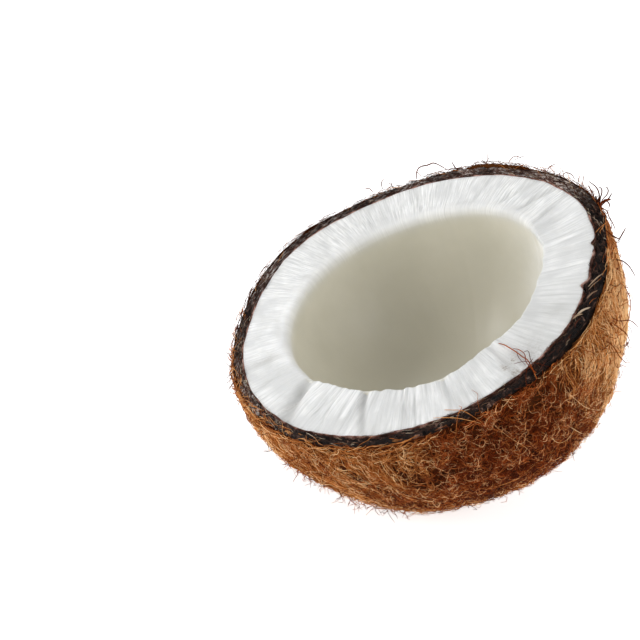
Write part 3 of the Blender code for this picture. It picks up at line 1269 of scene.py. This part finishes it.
# %% Points and faces of tubes
def tube_points(paths, radii):
    """Points of the tubes: path plus radius times (side cos + rise sin) for each corner, and a tip
    two radii beyond each end. Side is square to the path and to the way out of the nut."""
    paths[..., 2] = np.maximum(paths[..., 2], radii)
    ahead = np.gradient(paths, axis=1)
    ahead /= np.linalg.norm(ahead, axis=2, keepdims=True) + 1e-12
    out = paths - CENTRE
    out /= np.linalg.norm(out, axis=2, keepdims=True)
    side = np.cross(ahead, out)
    side /= np.linalg.norm(side, axis=2, keepdims=True) + 1e-12
    rise = np.cross(side, ahead)
    around = 2 * np.pi * np.arange(SIDES) / SIDES + np.pi / 2
    ring = side[:, :, None] * np.cos(around)[:, None] + rise[:, :, None] * np.sin(around)[:, None]
    points = paths[:, :, None] + ring * radii[:, :, None, None]
    first = paths[:, 0] - ahead[:, 0] * radii[:, :1] * 2
    last = paths[:, -1] + ahead[:, -1] * radii[:, -1:] * 2
    verts = np.concatenate([points.reshape(len(paths), -1, 3), np.stack([first, last], 1)], 1)
    verts[..., 2] = np.maximum(verts[..., 2], 0.0)
    return verts


def tube_faces(count, steps):
    """Faces of the tubes: a square between each pair of corners and steps, a triangle at each tip,
    and the same again for every strand, moved on by one strand's points."""
    block = steps * SIDES + 2
    here = np.arange(SIDES)
    there = (here + 1) % SIDES
    step = np.arange(steps - 1)[:, None] * SIDES
    quads = np.stack([step + here, step + SIDES + here, step + SIDES + there, step + there], -1)
    base = (steps - 1) * SIDES
    caps = np.concatenate([
        np.stack([np.full(SIDES, block - 2), here, there], -1),
        np.stack([np.full(SIDES, block - 1), base + there, base + here], -1),
    ])
    offset = (np.arange(count) * block)[:, None, None]
    return (quads.reshape(-1, 4) + offset).reshape(-1, 4), (caps + offset).reshape(-1, 3)


print("a tube of 8 steps has", sum(map(len, tube_faces(1, 8))), "faces")


# %% Map and piece
def pairs(*corners):
    """Corners of faces on the map, from the u and v of each, spread to one shape."""
    return np.stack([np.stack(np.broadcast_arrays(u, v), -1) for u, v in corners], -2)


def lay_map(piece, count, steps):
    """A flat map with one small cell for each strand, u along it and v round it."""
    cells = int(np.ceil(np.sqrt(count)))
    cell = np.stack([np.arange(count) % cells, np.arange(count) // cells], -1) / cells
    inset, size = 0.04 / cells, 0.92 / cells
    u = 0.08 + 0.84 * np.arange(steps) / (steps - 1)
    v = np.arange(SIDES + 1) / SIDES
    u0, u1, v0, v1 = u[:-1, None], u[1:, None], v[None, :-1], v[None, 1:]
    middle = (v[:-1] + v[1:]) / 2
    faces = (
        pairs((u0, v0), (u1, v0), (u1, v1), (u0, v1)),
        pairs((0.0, middle), (u[0], v[:-1]), (u[0], v[1:])),
        pairs((1.0, middle), (u[-1], v[1:]), (u[-1], v[:-1])),
    )
    quads, caps = faces[0].reshape(-1, 2), np.concatenate(faces[1:]).reshape(-1, 2)
    base = cell[:, None] + inset
    spread = [(base + part[None] * size).reshape(-1, 2) for part in (quads, caps)]
    layer = piece.data.uv_layers.new(name="OFBake")
    layer.data.foreach_set("uv", np.concatenate(spread).astype(np.float32).ravel())


def tubes(name, paths, radii, tone, red):
    """Three-sided tubes with pointed ends round paths of shape strands by steps by 3, with each
    strand's tone and redness on all its points."""
    count, steps = paths.shape[:2]
    verts = tube_points(paths, radii)
    piece = mesh_object(name, verts.reshape(-1, 3), tube_faces(count, steps))
    give(piece, "tone", np.repeat(tone, verts.shape[1]))
    give(piece, "red", np.repeat(red, verts.shape[1]))
    lay_map(piece, count, steps)
    print(name, count, "strands,", round(2 * float(radii.max()) / MM, 2), "mm thick at most")
    return piece

# %% [markdown]
# ## The colour of coir
#
# Coir runs from dark red-brown deep in the coat to straw on top, and no two fibres match. One colour
# with noise would look like paint over them all. So every strand carries its own tone and redness as
# numbers, and the finish turns them into a colour, with a little speckle along the strand.


# %% Fibre finish
def fibre_finish():
    """Tone plus speckle picks a place on two ramps, golden and rust, and redness mixes the two."""
    finish, tree, shader = new_finish("coir", 0.5, 0.05)
    speckle = ranged(tree, noise_of(tree, object_place(tree), 700.0, 3.0), 0.3, 0.7, -0.13, 0.13)
    varied = combined(tree, "ADD", attribute_of(tree, "tone"), speckle)
    golden = ramp_of(tree, varied, (
        (0.0, (0.030, 0.0055, 0.0008)),
        (0.25, (0.135, 0.032, 0.005)),
        (0.5, (0.39, 0.125, 0.026)),
        (0.75, (0.67, 0.285, 0.085)),
        (1.0, (0.95, 0.62, 0.31)),
    ))
    rust = ramp_of(tree, varied, (
        (0.0, (0.022, 0.0025, 0.0004)),
        (0.3, (0.125, 0.018, 0.0024)),
        (0.6, (0.35, 0.070, 0.0115)),
        (0.8, (0.58, 0.19, 0.053)),
        (1.0, (0.86, 0.50, 0.25)),
    ))
    tree.links.new(mixed(tree, attribute_of(tree, "red"), golden, rust), shader.inputs["Base Color"])
    return finish


coir = fibre_finish()
print("finish:", coir.name)

# %% [markdown]
# ## Wisps
#
# Coir grows in bundles, and peeling leaves their ends as wisps that point to the pole. Strands spread
# evenly would look like fur. So ten strands share one heading, bend and wave: they start a little
# apart and draw together at the tip. In the matted patches they are shorter and swing more.

# %% Wisps
WISP_MEMBERS = 10
WISP_PIECES, WISP_STRANDS = 3, 3000
WISPS_TOP = np.radians(88.5)
LOWEST = 0.02


def wisps(rng, count):
    """Bundles of strands: a shared path for each bundle, each strand with a small share of its own
    chance, and an arch, a sine of its length, that lifts its middle."""
    groups = count // WISP_MEMBERS
    k = np.repeat(np.arange(groups), WISP_MEMBERS)
    ways = start_ways(rng, groups, LOWEST, WISPS_TOP)
    messy = tangle(ways)
    lean = flow(ways) + rng.normal(0, 0.14, groups) + rng.normal(0, 0.9, groups) * messy
    heading = to_pole(ways, lean)
    length = rng.uniform(8, 24, groups) * MM * (1 - 0.62 * messy)
    length = length[k] * rng.uniform(0.7, 1.1, len(k))
    bend = (rng.normal(0, 16, groups) * (1 + 6 * messy))[k] + rng.normal(0, 9, len(k))
    wave = (rng.uniform(0.1, 0.4, groups) * (1 + 1.5 * messy))[k]
    pitch = rng.uniform(4, 10, groups)[k] * MM
    phase = rng.uniform(0, 6.28, groups)[k] + rng.normal(0, 0.5, len(k))
    along, aside = flat_path(length, bend, wave, pitch, phase)
    s = np.linspace(0, 1, STEPS)[None]
    along = along + rng.normal(0, 1.5, (len(k), 1)) * MM
    aside = aside + rng.normal(0, 0.9, (len(k), 1)) * MM * (1 - 0.8 * s)
    path = roll_on(ways[k], heading[k], along / RIM, aside / RIM)
    level = rng.uniform(0, 1, groups)[k]
    arch = np.sin(np.pi * s) * rng.uniform(0.1, 0.7, (len(k), 1)) + rng.normal(0, 0.15, (len(k), 1))
    height = (-0.35 + 1.1 * level[:, None] + arch) * MM
    tone = 0.12 + 0.46 * level + base_tone(ways)[k]
    tone = tone + rng.normal(0, 0.11, groups)[k] + rng.normal(0, 0.16, len(k))
    red = redness(rng, ways)[k]
    radii = tapered(rng.uniform(0.06, 0.13, len(k)))
    return world(husk_place(path, height)), radii, np.clip(tone, 0.02, 1), red


for part in range(WISP_PIECES):
    found = wisps(np.random.default_rng(100 + part), WISP_STRANDS)
    hand_over(tubes(f"wisps_{part + 1}", *found), "husk_fibre", coir)

# %% [markdown]
# ## Short and single fibres
#
# Between the wisps the coat is full of short fibres that come up and go down into it again, and
# single ones cross it. More wisps would not fill the gaps between wisps. Short strands, with a few
# light ones among many dark ones, do, and they make the fine glitter of the coat.

# %% Combed fibres
COMBED_PIECES, COMBED_STRANDS = 2, 6400


def combed(rng, count):
    """Short strands that follow the coat's flow: a random start height plus a sine arch."""
    ways = start_ways(rng, count, LOWEST, np.radians(89))
    messy = tangle(ways)
    lean = flow(ways) + rng.normal(0, 0.24, count) + rng.normal(0, 1.1, count) * messy
    length = rng.uniform(3, 8.5, count) * MM * (1 - 0.45 * messy)
    bend = 70 * (1 + 4 * messy)
    path = wandering(rng, ways, to_pole(ways, lean), length, bend, (0.1, 0.5), (2.5, 6), SHORT_STEPS)
    arch = np.sin(np.pi * np.linspace(0, 1, SHORT_STEPS)[None])
    height = (rng.uniform(-0.2, 0.7, (count, 1)) + arch * rng.uniform(0.2, 0.9, (count, 1))) * MM
    tone = mixed_tones(rng, count, 0.35, 0.80, 0.28) + base_tone(ways)
    radii = tapered(rng.uniform(0.05, 0.10, count), SHORT_STEPS)
    return world(husk_place(path, height)), radii, np.clip(tone, 0.03, 1), redness(rng, ways)


for part in range(COMBED_PIECES):
    found = combed(np.random.default_rng(150 + part), COMBED_STRANDS)
    hand_over(tubes(f"combed_{part + 1}", *found), "husk_fibre", coir)


# %% Single fibres
def singles(rng, ways, lean, longest):
    """Single strands at a lean to the way to the pole, up to a longest in mm, arched as a sine."""
    count = len(ways)
    messy = tangle(ways)
    length = rng.uniform(0.35, 1, count) * longest * MM * (1 - 0.62 * messy)
    path = wandering(rng, ways, to_pole(ways, lean), length, 40 * (1 + 3 * messy), (0.1, 0.6), (3, 9))
    arch = np.sin(np.pi * np.linspace(0, 1, STEPS)[None]) * rng.uniform(0.1, 0.9, (count, 1))
    height = (rng.uniform(0.1, 1.1, (count, 1)) + arch) * MM
    tone = mixed_tones(rng, count, 0.40, 0.78, 0.22 - 0.08 * messy) + base_tone(ways)
    radii = tapered(rng.uniform(0.045, 0.095, count))
    return world(husk_place(path, height)), radii, np.clip(tone, 0.05, 1), redness(rng, ways)


SINGLE_STRANDS = 2800

rng = np.random.default_rng(200)
ways = start_ways(rng, SINGLE_STRANDS, LOWEST, np.radians(88))
lean = flow(ways) + rng.normal(0, 0.38, len(ways)) + rng.normal(0, 1.2, len(ways)) * tangle(ways)
hand_over(tubes("single_fibres", *singles(rng, ways, lean, 15)), "husk_fibre", coir)

# %% [markdown]
# ## Fibres along the husk's edge
#
# Just under the cut the husk ends in a ragged hem, where many fibres lie along the rim. Without them
# the coat would stop like a lawn at a path. These are the same single fibres, started near the rim,
# most of them turned almost square to the others, and darker on the far side.

# %% Edge fibres
RIM_HEADING = 1.45
EDGE_STRANDS = 3000

rng = np.random.default_rng(210)
ways = start_ways(rng, EDGE_STRANDS, np.radians(85.5), np.radians(91.8))
along_rim = np.where(rng.uniform(0, 1, len(ways)) < 0.5, RIM_HEADING, -RIM_HEADING)
lean = np.where(rng.uniform(0, 1, len(ways)) < 0.6, along_rim, flow(ways))
lean = lean + rng.normal(0, 0.3, len(ways))
paths, radii, tone, red = singles(rng, ways, lean, 12)
far = ease((np.cos(turn_of(ways) - np.radians(150)) + 0.1) / 0.5)
tone = tone * (1 - 0.55 * far)
red = red + (1 - red) * 0.8 * far
hand_over(tubes("edge_fibres", paths, radii, tone, red), "husk_fibre", coir)

# %% [markdown]
# ## Curls
#
# In the matted patches short fibres curl up like wool. They could be small coils, but real ones never
# close. A strong even bend, different for each strand, gives hooks, commas and open loops.

# %% Curls
CURL_PIECES, CURL_STRANDS = 2, 4600
CURL_BEND = 520
ALL_ROUND = (-3.1, 3.1)


def curls(rng, count):
    """Short curled strands that stand a little off the coat, thickest in the matted patches."""
    ways = start_ways(rng, count * 6, LOWEST, np.radians(87))
    wanted = 0.17 - hills(turn_of(ways), (50, 26, 0.15)) + 0.9 * tangle(ways)
    ways = chosen(rng, ways, wanted)[:count]
    count = len(ways)
    heading = to_pole(ways, rng.uniform(*ALL_ROUND, count))
    length = rng.uniform(1.8, 5.4, count) * MM
    path = wandering(rng, ways, heading, length, CURL_BEND, (0.1, 0.9), (2, 5), CURL_STEPS)
    arch = np.sin(np.pi * np.linspace(0, 1, CURL_STEPS)[None])
    lift = rng.uniform(0.2, 1.3, (count, 1)) * arch + rng.uniform(0.3, 1.3, (count, 1))
    tone = mixed_tones(rng, count, 0.33, 0.90, 0.28) + 0.7 * base_tone(ways)
    radii = tapered(rng.uniform(0.045, 0.085, count), CURL_STEPS)
    return world(husk_place(path, lift * MM)), radii, np.clip(tone, 0.08, 1), redness(rng, ways)


for part in range(CURL_PIECES):
    found = curls(np.random.default_rng(300 + part), CURL_STRANDS)
    hand_over(tubes(f"curls_{part + 1}", *found), "husk_fibre", coir)

# %% [markdown]
# ## Flyaways
#
# Single hairs stand away from the coat in curled arcs, and they soften its outline. Spread evenly they
# would make a halo. So they keep to a few areas, and most of them stay low while a few reach far.


# %% Flyaways
def flyaways(rng, ways, reach_mm, longest, over=0.012, flat=0.72):
    """Single hairs whose height grows as a power of their length, plus a sine that curls them."""
    count = len(ways)
    heading = to_pole(ways, rng.uniform(*ALL_ROUND, count))
    length = rng.uniform(0.3, 1, count) * longest * MM
    path = wandering(rng, ways, heading, length, CURL_BEND, (0.2, 1.2), (2.5, 6))
    s = np.linspace(0, 1, STEPS)[None]
    taller = 1 + hills(turn_of(ways)[:, None], (-72, 14, 0.4))
    reach = rng.uniform(0.15, 1.0, (count, 1)) ** 1.6 * reach_mm * taller
    curl = 0.12 * reach * np.sin(2 * np.pi * s * rng.uniform(0.8, 1.8, (count, 1)))
    height = (0.2 + reach * s ** rng.uniform(0.7, 1.5, (count, 1)) + curl) * MM
    tone = np.clip(rng.normal(0.40, 0.17, count), 0.05, 1)
    radii = tapered(rng.uniform(0.075, 0.125, count))
    return world(husk_place(path, height, over, flat)), radii, tone, rng.uniform(0.3, 1.0, count)


FLYAWAY_STRANDS = 1700
FLYAWAY_REACH, FLYAWAY_LONGEST = 3.6, 9

rng = np.random.default_rng(400)
ways = start_ways(rng, FLYAWAY_STRANDS * 6, 0.05, np.radians(86))
wanted = ease((waves(ways, 0.30, 81) + 0.1) / 1.4)
wanted = wanted + hills(turn_of(ways), (-72, 14, 0.8)) * (ways[:, 2] > -0.75)
wanted = wanted + hills(turn_of(ways), (22, 30, 0.35))
ways = chosen(rng, ways, wanted)[:FLYAWAY_STRANDS]
found = flyaways(rng, ways, FLYAWAY_REACH, FLYAWAY_LONGEST)
hand_over(tubes("flyaways", *found), "husk_fibre", coir)

# %% Flyaways at the rim
# Where hairs stand up at the rim: turn and width in degrees, share of the strands kept.
RIM_TUFTS = (
    (160, 12, 0.25), (122, 7, 0.4), (86, 7, 0.5), (58, 10, 0.35), (104, 5, 0.5), (-118, 14, 0.4),
)

rng = np.random.default_rng(410)
ways = start_ways(rng, 2600, np.radians(85.5), np.radians(91))
ways = chosen(rng, ways, hills(turn_of(ways), *RIM_TUFTS) + 0.03)
hand_over(tubes("rim_flyaways", *flyaways(rng, ways, 3.0, 7, 0.04, 0.2)), "husk_fibre", coir)

# %% [markdown]
# ## Threads torn from the shell
#
# A saw doesn't cut coconut shell clean: it pulls short threads out of it that lie along the edge. A
# rougher surface can't show them lying loose. They are strands like the husk's, laid round the rim in
# flat arcs, black to brown, with pale raw ones where the wood is raw.


# %% Threads on the shell's edge
def laid_round(turn, radius, length, slant, wave, s, height):
    """Paths along the rim: s times length, turned by a slant, shared between the radius and the way
    round the nut, plus a wave in the radius."""
    radius = radius[:, None] + s * (length * np.sin(slant))[:, None] + wave
    round_nut = turn[:, None] + s * (length * np.cos(slant))[:, None] / radius
    return world(ring_points(radius, round_nut, height))


def thread_finish():
    """Torn shell threads: a ramp from black to raw wood by tone, mixed to rust by redness."""
    finish, tree, shader = new_finish("shell_thread", 0.55, 0.15)
    colour = ramp_of(tree, attribute_of(tree, "tone"), (
        (0.0, (0.004, 0.002, 0.002)),
        (0.4, (0.05, 0.022, 0.013)),
        (0.7, (0.30, 0.20, 0.125)),
        (1.0, (0.70, 0.60, 0.46)),
    ))
    colour = mixed(tree, attribute_of(tree, "red"), colour, (0.10, 0.022, 0.008))
    tree.links.new(colour, shader.inputs["Base Color"])
    return finish


# Where the threads are pale: turn and width in degrees, share of them.
PALE_THREADS = ((-104, 38, 0.55), (101, 26, 0.55), (-18, 14, 0.25), (-165, 16, 0.2))


def shell_threads(rng, count):
    """Short threads that lie along the cut shell, lower towards its outside, a few arched."""
    turn = rng.uniform(-np.pi, np.pi, count)
    width = shell_edge(turn) + swelling(turn) - broken_edge(turn)
    across = rng.uniform(0.02, 1.0, count)
    length = rng.uniform(0.8, 3.6, count) * MM
    slant = rng.normal(0, 0.25, count)
    s = np.linspace(-0.5, 0.5, STEPS)[None]
    wave = rng.uniform(0.05, 0.22, (count, 1)) * MM * np.sin(s * rng.uniform(4, 14, (count, 1)))
    low = np.clip((across[:, None] - 0.75) / 0.25, 0, 1) * 0.8
    arch = rng.uniform(0.0, 0.4, (count, 1)) * np.cos(np.pi * s)
    height = (rng.uniform(-0.35, 0.2, (count, 1)) + arch - low) * MM
    paths = laid_round(turn, broken_edge(turn) + width * across, length, slant, wave, s, height)
    is_pale = rng.uniform(0, 1, count) < 0.07 + hills(turn, *PALE_THREADS)
    tone = np.where(is_pale, rng.uniform(0.5, 1.0, count), rng.uniform(0.0, 0.4, count))
    red = np.where(rng.uniform(0, 1, count) < 0.2, rng.uniform(0.3, 1.0, count), 0.0)
    return paths, tapered(rng.uniform(0.04, 0.09, count)), tone, red


torn_wood = thread_finish()
THREAD_STRANDS = 1000
piece = tubes("shell_threads", *shell_threads(np.random.default_rng(500), THREAD_STRANDS))
hand_over(piece, "hard_shell", torn_wood)

# %% Fluff over the rim
# Where husk strands lie over the cut shell: turn and width in degrees, share of the strands kept.
FLUFF_SIDES = ((-106, 32, 0.9), (150, 26, 0.15))


def rim_fluff(rng, count):
    """Husk strands that lie over the outer part of the cut shell, most of them on one side."""
    turn = rng.uniform(-np.pi, np.pi, 3 * count)
    turn = chosen(rng, turn, 0.05 + hills(turn, *FLUFF_SIDES))[:count]
    count = len(turn)
    length = rng.uniform(1.5, 6, count) * MM
    slant = rng.normal(0, 0.4, count)
    s = np.linspace(-0.5, 0.5, SHORT_STEPS)[None]
    wave = rng.uniform(0.1, 0.4, (count, 1)) * MM * np.sin(s * rng.uniform(4, 12, (count, 1)))
    middle = shell_edge(turn) + swelling(turn) + rng.uniform(-1.5, 1.0, count) * MM
    height = rng.uniform(-0.6, 0.5, (count, 1)) + rng.uniform(0, 0.5, (count, 1)) * np.cos(np.pi * s)
    paths = laid_round(turn, middle, length, slant, wave, s, height * MM)
    tone = np.clip(mixed_tones(rng, count, 0.36, 0.76, 0.5), 0.03, 1)
    radii = tapered(rng.uniform(0.05, 0.095, count), SHORT_STEPS)
    return paths, radii, tone, rng.uniform(0, 0.5, count)


FLUFF_STRANDS = 360
piece = tubes("rim_fluff", *rim_fluff(np.random.default_rng(510), FLUFF_STRANDS))
hand_over(piece, "husk_fibre", coir)

# %% [markdown]
# ## Single long fibres
#
# A few long fibres give the half its character: some lie across the cut meat, some cross the husk in
# pale arcs, and tufts stand up where the saw left the coat loose. Chance would never put them there.
# So each is a smooth path through a few points of its own.


# %% Paths through points
LONG_STEPS = 17


def through(points):
    """A smooth path through points: each stretch is a cubic whose slopes follow its neighbours."""
    points = np.array(points, float)
    t = np.linspace(0, len(points) - 1, LONG_STEPS)
    i = np.minimum(t.astype(int), len(points) - 2)
    f = (t - i)[:, None]
    before, after = points[np.maximum(i - 1, 0)], points[np.minimum(i + 2, len(points) - 1)]
    start, end = points[i], points[i + 1]
    slope_in, slope_out = (end - before) / 2, (after - start) / 2
    cubic = 2 * start - 2 * end + slope_in + slope_out
    square = -3 * start + 3 * end - 2 * slope_in - slope_out
    return ((cubic * f + square) * f + slope_in) * f + start


def on_cut(places):
    """Points over the cut from radius in mm, turn in degrees and height in mm."""
    radius, turn, height = np.array(places, float).T
    return ring_points(radius * MM, np.radians(turn), height * MM)


def on_husk(places):
    """Points over the husk from angle and turn in degrees and height in mm above the felt."""
    angle, turn, height = np.array(places, float).T
    angle, turn = np.radians(angle), np.radians(turn)
    cover = coat(np.minimum(angle, top_angle(turn)), turn) - FELT_SUNK
    return nut_point(angle, turn, cover + height * MM)


print("half way between two points:", np.round(through([(0, 0, 0), (1, 1, 0)])[LONG_STEPS // 2], 2))


# %% Where the long fibres are
# Each fibre: radius in mm, tone and redness, then its points.
ACROSS_CUT = (
    (0.20, 0.56, 0.9, ((33.9, 9.0, -0.5), (38.5, 9.4, 0.5), (43.2, 9.0, 0.8), (46.8, 8.5, 0.8),
                       (50.5, 8.0, 0.9), (56, 5.5, -0.6))),
    (0.15, 0.48, 1.0, ((42.0, 9.7, 0.5), (44.5, 10.0, 1.1), (47.5, 9.4, 1.2), (50.5, 7.2, 1.0),
                       (55, 6.5, 0.2))),
    (0.10, 0.12, 1.0, ((43.6, 9.8, 0.5), (45.4, 8.2, 1.0), (47.4, 7.2, 0.9), (50.5, 6.6, 0.6))),
    (0.11, 0.10, 1.0, ((45.8, 10.6, 0.4), (47.8, 10.9, 1.3), (50.2, 9.0, 0.9), (53, 7.5, 0.4))),
    (0.10, 0.18, 1.0, ((47.0, 5.0, 0.5), (49.3, 6.6, 1.3), (52, 8.4, 1.0), (56, 10.5, -0.8))),
    (0.12, 0.12, 0.9, ((50.2, 9.8, 0.4), (51.8, 7.4, 1.4), (53.8, 4.0, 1.0), (56.5, 1.5, -1.0))),
    (0.07, 0.55, 0.7, ((46.0, -11.4, 0.4), (49, -10.6, 0.6), (52, -11.8, 0.7), (56.5, -13, -1.2))),
    (0.11, 0.66, 0.3, ((48.8, -22, 0.4), (50.6, -19.6, 0.8), (53.2, -16.5, 0.9), (57.5, -13.5, -1.6))),
    (0.10, 0.58, 0.4, ((49.6, -17.4, 0.4), (51.4, -16.8, 0.9), (53.6, -18.6, 0.8), (57.4, -21, -1.6))),
    (0.09, 0.80, 0.2, ((50.3, -26, 0.4), (52.2, -22.6, 0.8), (54.6, -18.5, 0.5), (57.2, -14, -1.8))),
)
ON_HUSK = (
    (0.085, 0.95, 0.1, ((79, 12, 0.6), (75, 13, 1.9), (68, 16, 2.5), (60, 22, 2.4), (53, 29, 1.6))),
    (0.1, 0.97, 0.1, ((72, 6, 0.8), (67, 8.5, 1.9), (58, 13, 2.2), (50, 18, 1.2))),
    (0.08, 0.9, 0.2, ((72, 0, 0.8), (68, 2, 2.0), (63, 4, 2.3), (60, 8, 1.9), (61, 13, 1.1))),
    (0.085, 0.84, 0.3, ((87, -12, 0.6), (79, -9, 1.7), (71, -6, 2.0), (64, -5, 1.2))),
    (0.08, 0.75, 0.4, ((66, -30, 0.7), (60, -22, 1.7), (57, -12, 1.9), (59, -3, 1.2))),
    (0.08, 0.8, 0.2, ((86, -52, 0.7), (76, -46, 1.6), (66, -44, 1.7), (58, -36, 1.1))),
    (0.08, 0.9, 0.1, ((88, 42, 0.6), (79, 44, 1.5), (70, 43, 1.7), (60, 38, 1.1))),
)
HAIRS = (
    (0.24, 0.3, 0.8, ((53.6, 148.8, 0.4), (54.4, 148.1, 2.1), (55.4, 146.8, 2.8), (56.0, 144.5, 2.3),
                      (56.5, 143.0, 2.2), (56.6, 141.8, 1.2), (55.8, 139.6, -0.6))),
    (0.13, 0.45, 0.8, ((54.4, 148.2, 2.0), (55.5, 148.3, 1.2), (55.2, 147.5, -0.4))),
    (0.23, 0.16, 0.8, ((54.8, 136.5, 2.6), (54.0, 135.8, 1.2), (53.8, 135.3, 0.5), (54.3, 133.5, 0.1))),
    (0.17, 0.3, 0.8, ((55.5, 160, 0), (56, 159.6, 1.6), (55.8, 158.4, 2.6))),
    (0.17, 0.4, 0.8, ((55.6, 163, 0), (56.2, 163.6, 1.4), (56.4, 165.0, 1.8))),
    (0.14, 0.4, 0.8, ((55.5, 118, 0), (56.2, 117.5, 1.6), (56.6, 115.5, 2.6), (56.4, 113.5, 2.4))),
    (0.16, 0.35, 0.8, ((56.0, 104, 0), (56.8, 103, 1.4), (57.6, 101, 2.4))),
    (0.16, 0.3, 0.8, ((56.4, 98, 0), (57.0, 96, 1.6), (57.0, 93, 2.2), (56.6, 91, 1.4))),
)
TUFT = (
    (0.24, 0.12, 0.5, ((56.8, 77.4, -1.0), (58.0, 78.9, 1.3), (58.5, 79.8, 2.6), (58.4, 80.7, 3.9),
                       (57.6, 82.0, 5.3))),
    (0.21, 0.14, 0.5, ((56.6, 80.0, -0.6), (57.1, 81.4, 1.6), (57.1, 82.3, 2.7), (57.1, 83.0, 3.6))),
    (0.24, 0.16, 0.6, ((57.0, 78.0, -0.8), (58.1, 78.7, 0.9), (59.1, 79.3, 1.8), (59.6, 79.9, 2.6),
                       (59.3, 80.3, 3.1))),
    (0.21, 0.18, 0.5, ((57.2, 77.8, -0.6), (58.5, 78.3, 0.5), (60.0, 78.6, 0.9), (60.9, 79.0, 1.5),
                       (61.1, 79.5, 2.3), (60.6, 79.8, 2.7))),
    (0.24, 0.1, 0.7, ((57.0, 77.0, -0.4), (59.6, 77.4, 0.3), (60.3, 77.6, 0.5), (61.4, 77.9, 1.1))),
    (0.43, 0.22, 0.9, ((56.4, 75.0, -1.0), (57.2, 76.1, 0.9), (58.2, 76.3, 1.3), (59.5, 76.2, 1.1),
                       (60.1, 76.2, 0.9))),
    (0.24, 0.2, 0.8, ((57.8, 77.0, 0.2), (59.1, 77.0, 0.2), (59.4, 76.4, -0.7), (58.9, 76.0, -1.2))),
    (0.48, 0.04, 0.7, ((56.8, 76.5, -1.2), (57.0, 77.6, 0.2), (57.6, 78.8, 1.0))),
    (0.43, 0.03, 0.7, ((56.4, 77.5, -1.2), (56.8, 79.0, 0.3), (57.2, 80.0, 1.2))),
)
OUTSIDE = (
    (0.2, 0.3, 0.7, ((57.0, 75.4, 0.4), (57.8, 74.4, -0.8), (57.7, 73.2, -2.3), (57.9, 72.1, -3.8),
                     (57.8, 70.9, -5.4))),
    (0.24, 0.14, 0.6, ((55.8, 64.8, 0.4), (57.0, 63.6, -1.3), (58.4, 63.0, -2.5))),
    (0.24, 0.14, 0.7, ((57.9, 62.8, -2.9), (59.3, 63.7, -2.0), (60.9, 64.7, -1.1))),
    (0.2, 0.2, 0.8, ((57.0, 55.0, -2.6), (58.8, 54.0, -2.8), (60.6, 52.0, -3.6), (61.8, 50.0, -5.4))),
    (0.14, 0.45, 0.7, ((58.4, 47, -4), (60.2, 45, -5), (61.4, 42, -7), (61.0, 38, -9.5),
                       (59.0, 35, -11))),
    (0.18, 0.3, 0.8, ((58, 36, -6), (61, 34.5, -6), (63.5, 35.5, -6.8), (66.0, 34.5, -8.2))),
    (0.17, 0.35, 0.8, ((58, 35, -7), (60.6, 33.5, -7.4), (62.6, 33.0, -9.0), (63.2, 32.5, -11))),
    (0.18, 0.3, 0.8, ((58, 30, -9), (60.8, 28.5, -9.5), (63.0, 27, -11.2), (64.5, 26.8, -13))),
)
SPLINTERS = (
    (0.2, 0.72, 0.0, ((51.6, 42.0, 0.1), (52.6, 43.2, 0.5), (53.8, 44.8, 0.7), (55.0, 46.4, 0.5))),
    (0.16, 0.6, 0.1, ((52.0, 40.6, 0.1), (53.0, 42.0, 0.5), (54.2, 43.6, 0.5))),
    (0.22, 0.6, 0.2, ((52.6, 37.0, 0.1), (53.6, 38.4, 0.5), (54.8, 39.8, 0.3))),
    (0.34, 0.8, 0.0, ((52.2, 29.8, 0.1), (53.4, 31.4, 0.6), (54.8, 33.0, 0.3))),
    (0.3, 0.72, 0.0, ((51.8, 28.4, 0.1), (52.6, 29.4, 0.5), (53.6, 30.4, 0.2))),
)

long_count = sum(map(len, (ACROSS_CUT, ON_HUSK, HAIRS, TUFT, OUTSIDE)))
print(long_count, "long fibres and", len(SPLINTERS), "splinters")


# %% Long fibres and splinters
def long_fibres(*groups):
    """Gathers the fibres of each group: paths, radii, tones and redness."""
    placed = [(through(place(points)), *rest) for place, fibres in groups for *rest, points in fibres]
    paths, thickness, tone, red = (np.array(column) for column in zip(*placed))
    return world(paths), tapered(thickness, LONG_STEPS), tone, red


found = long_fibres(
    (on_cut, ACROSS_CUT), (on_husk, ON_HUSK), (on_cut, HAIRS), (on_cut, TUFT), (on_cut, OUTSIDE),
)
hand_over(tubes("long_fibres", *found), "husk_fibre", coir)
hand_over(tubes("splinters", *long_fibres((on_cut, SPLINTERS))), "hard_shell", torn_wood)
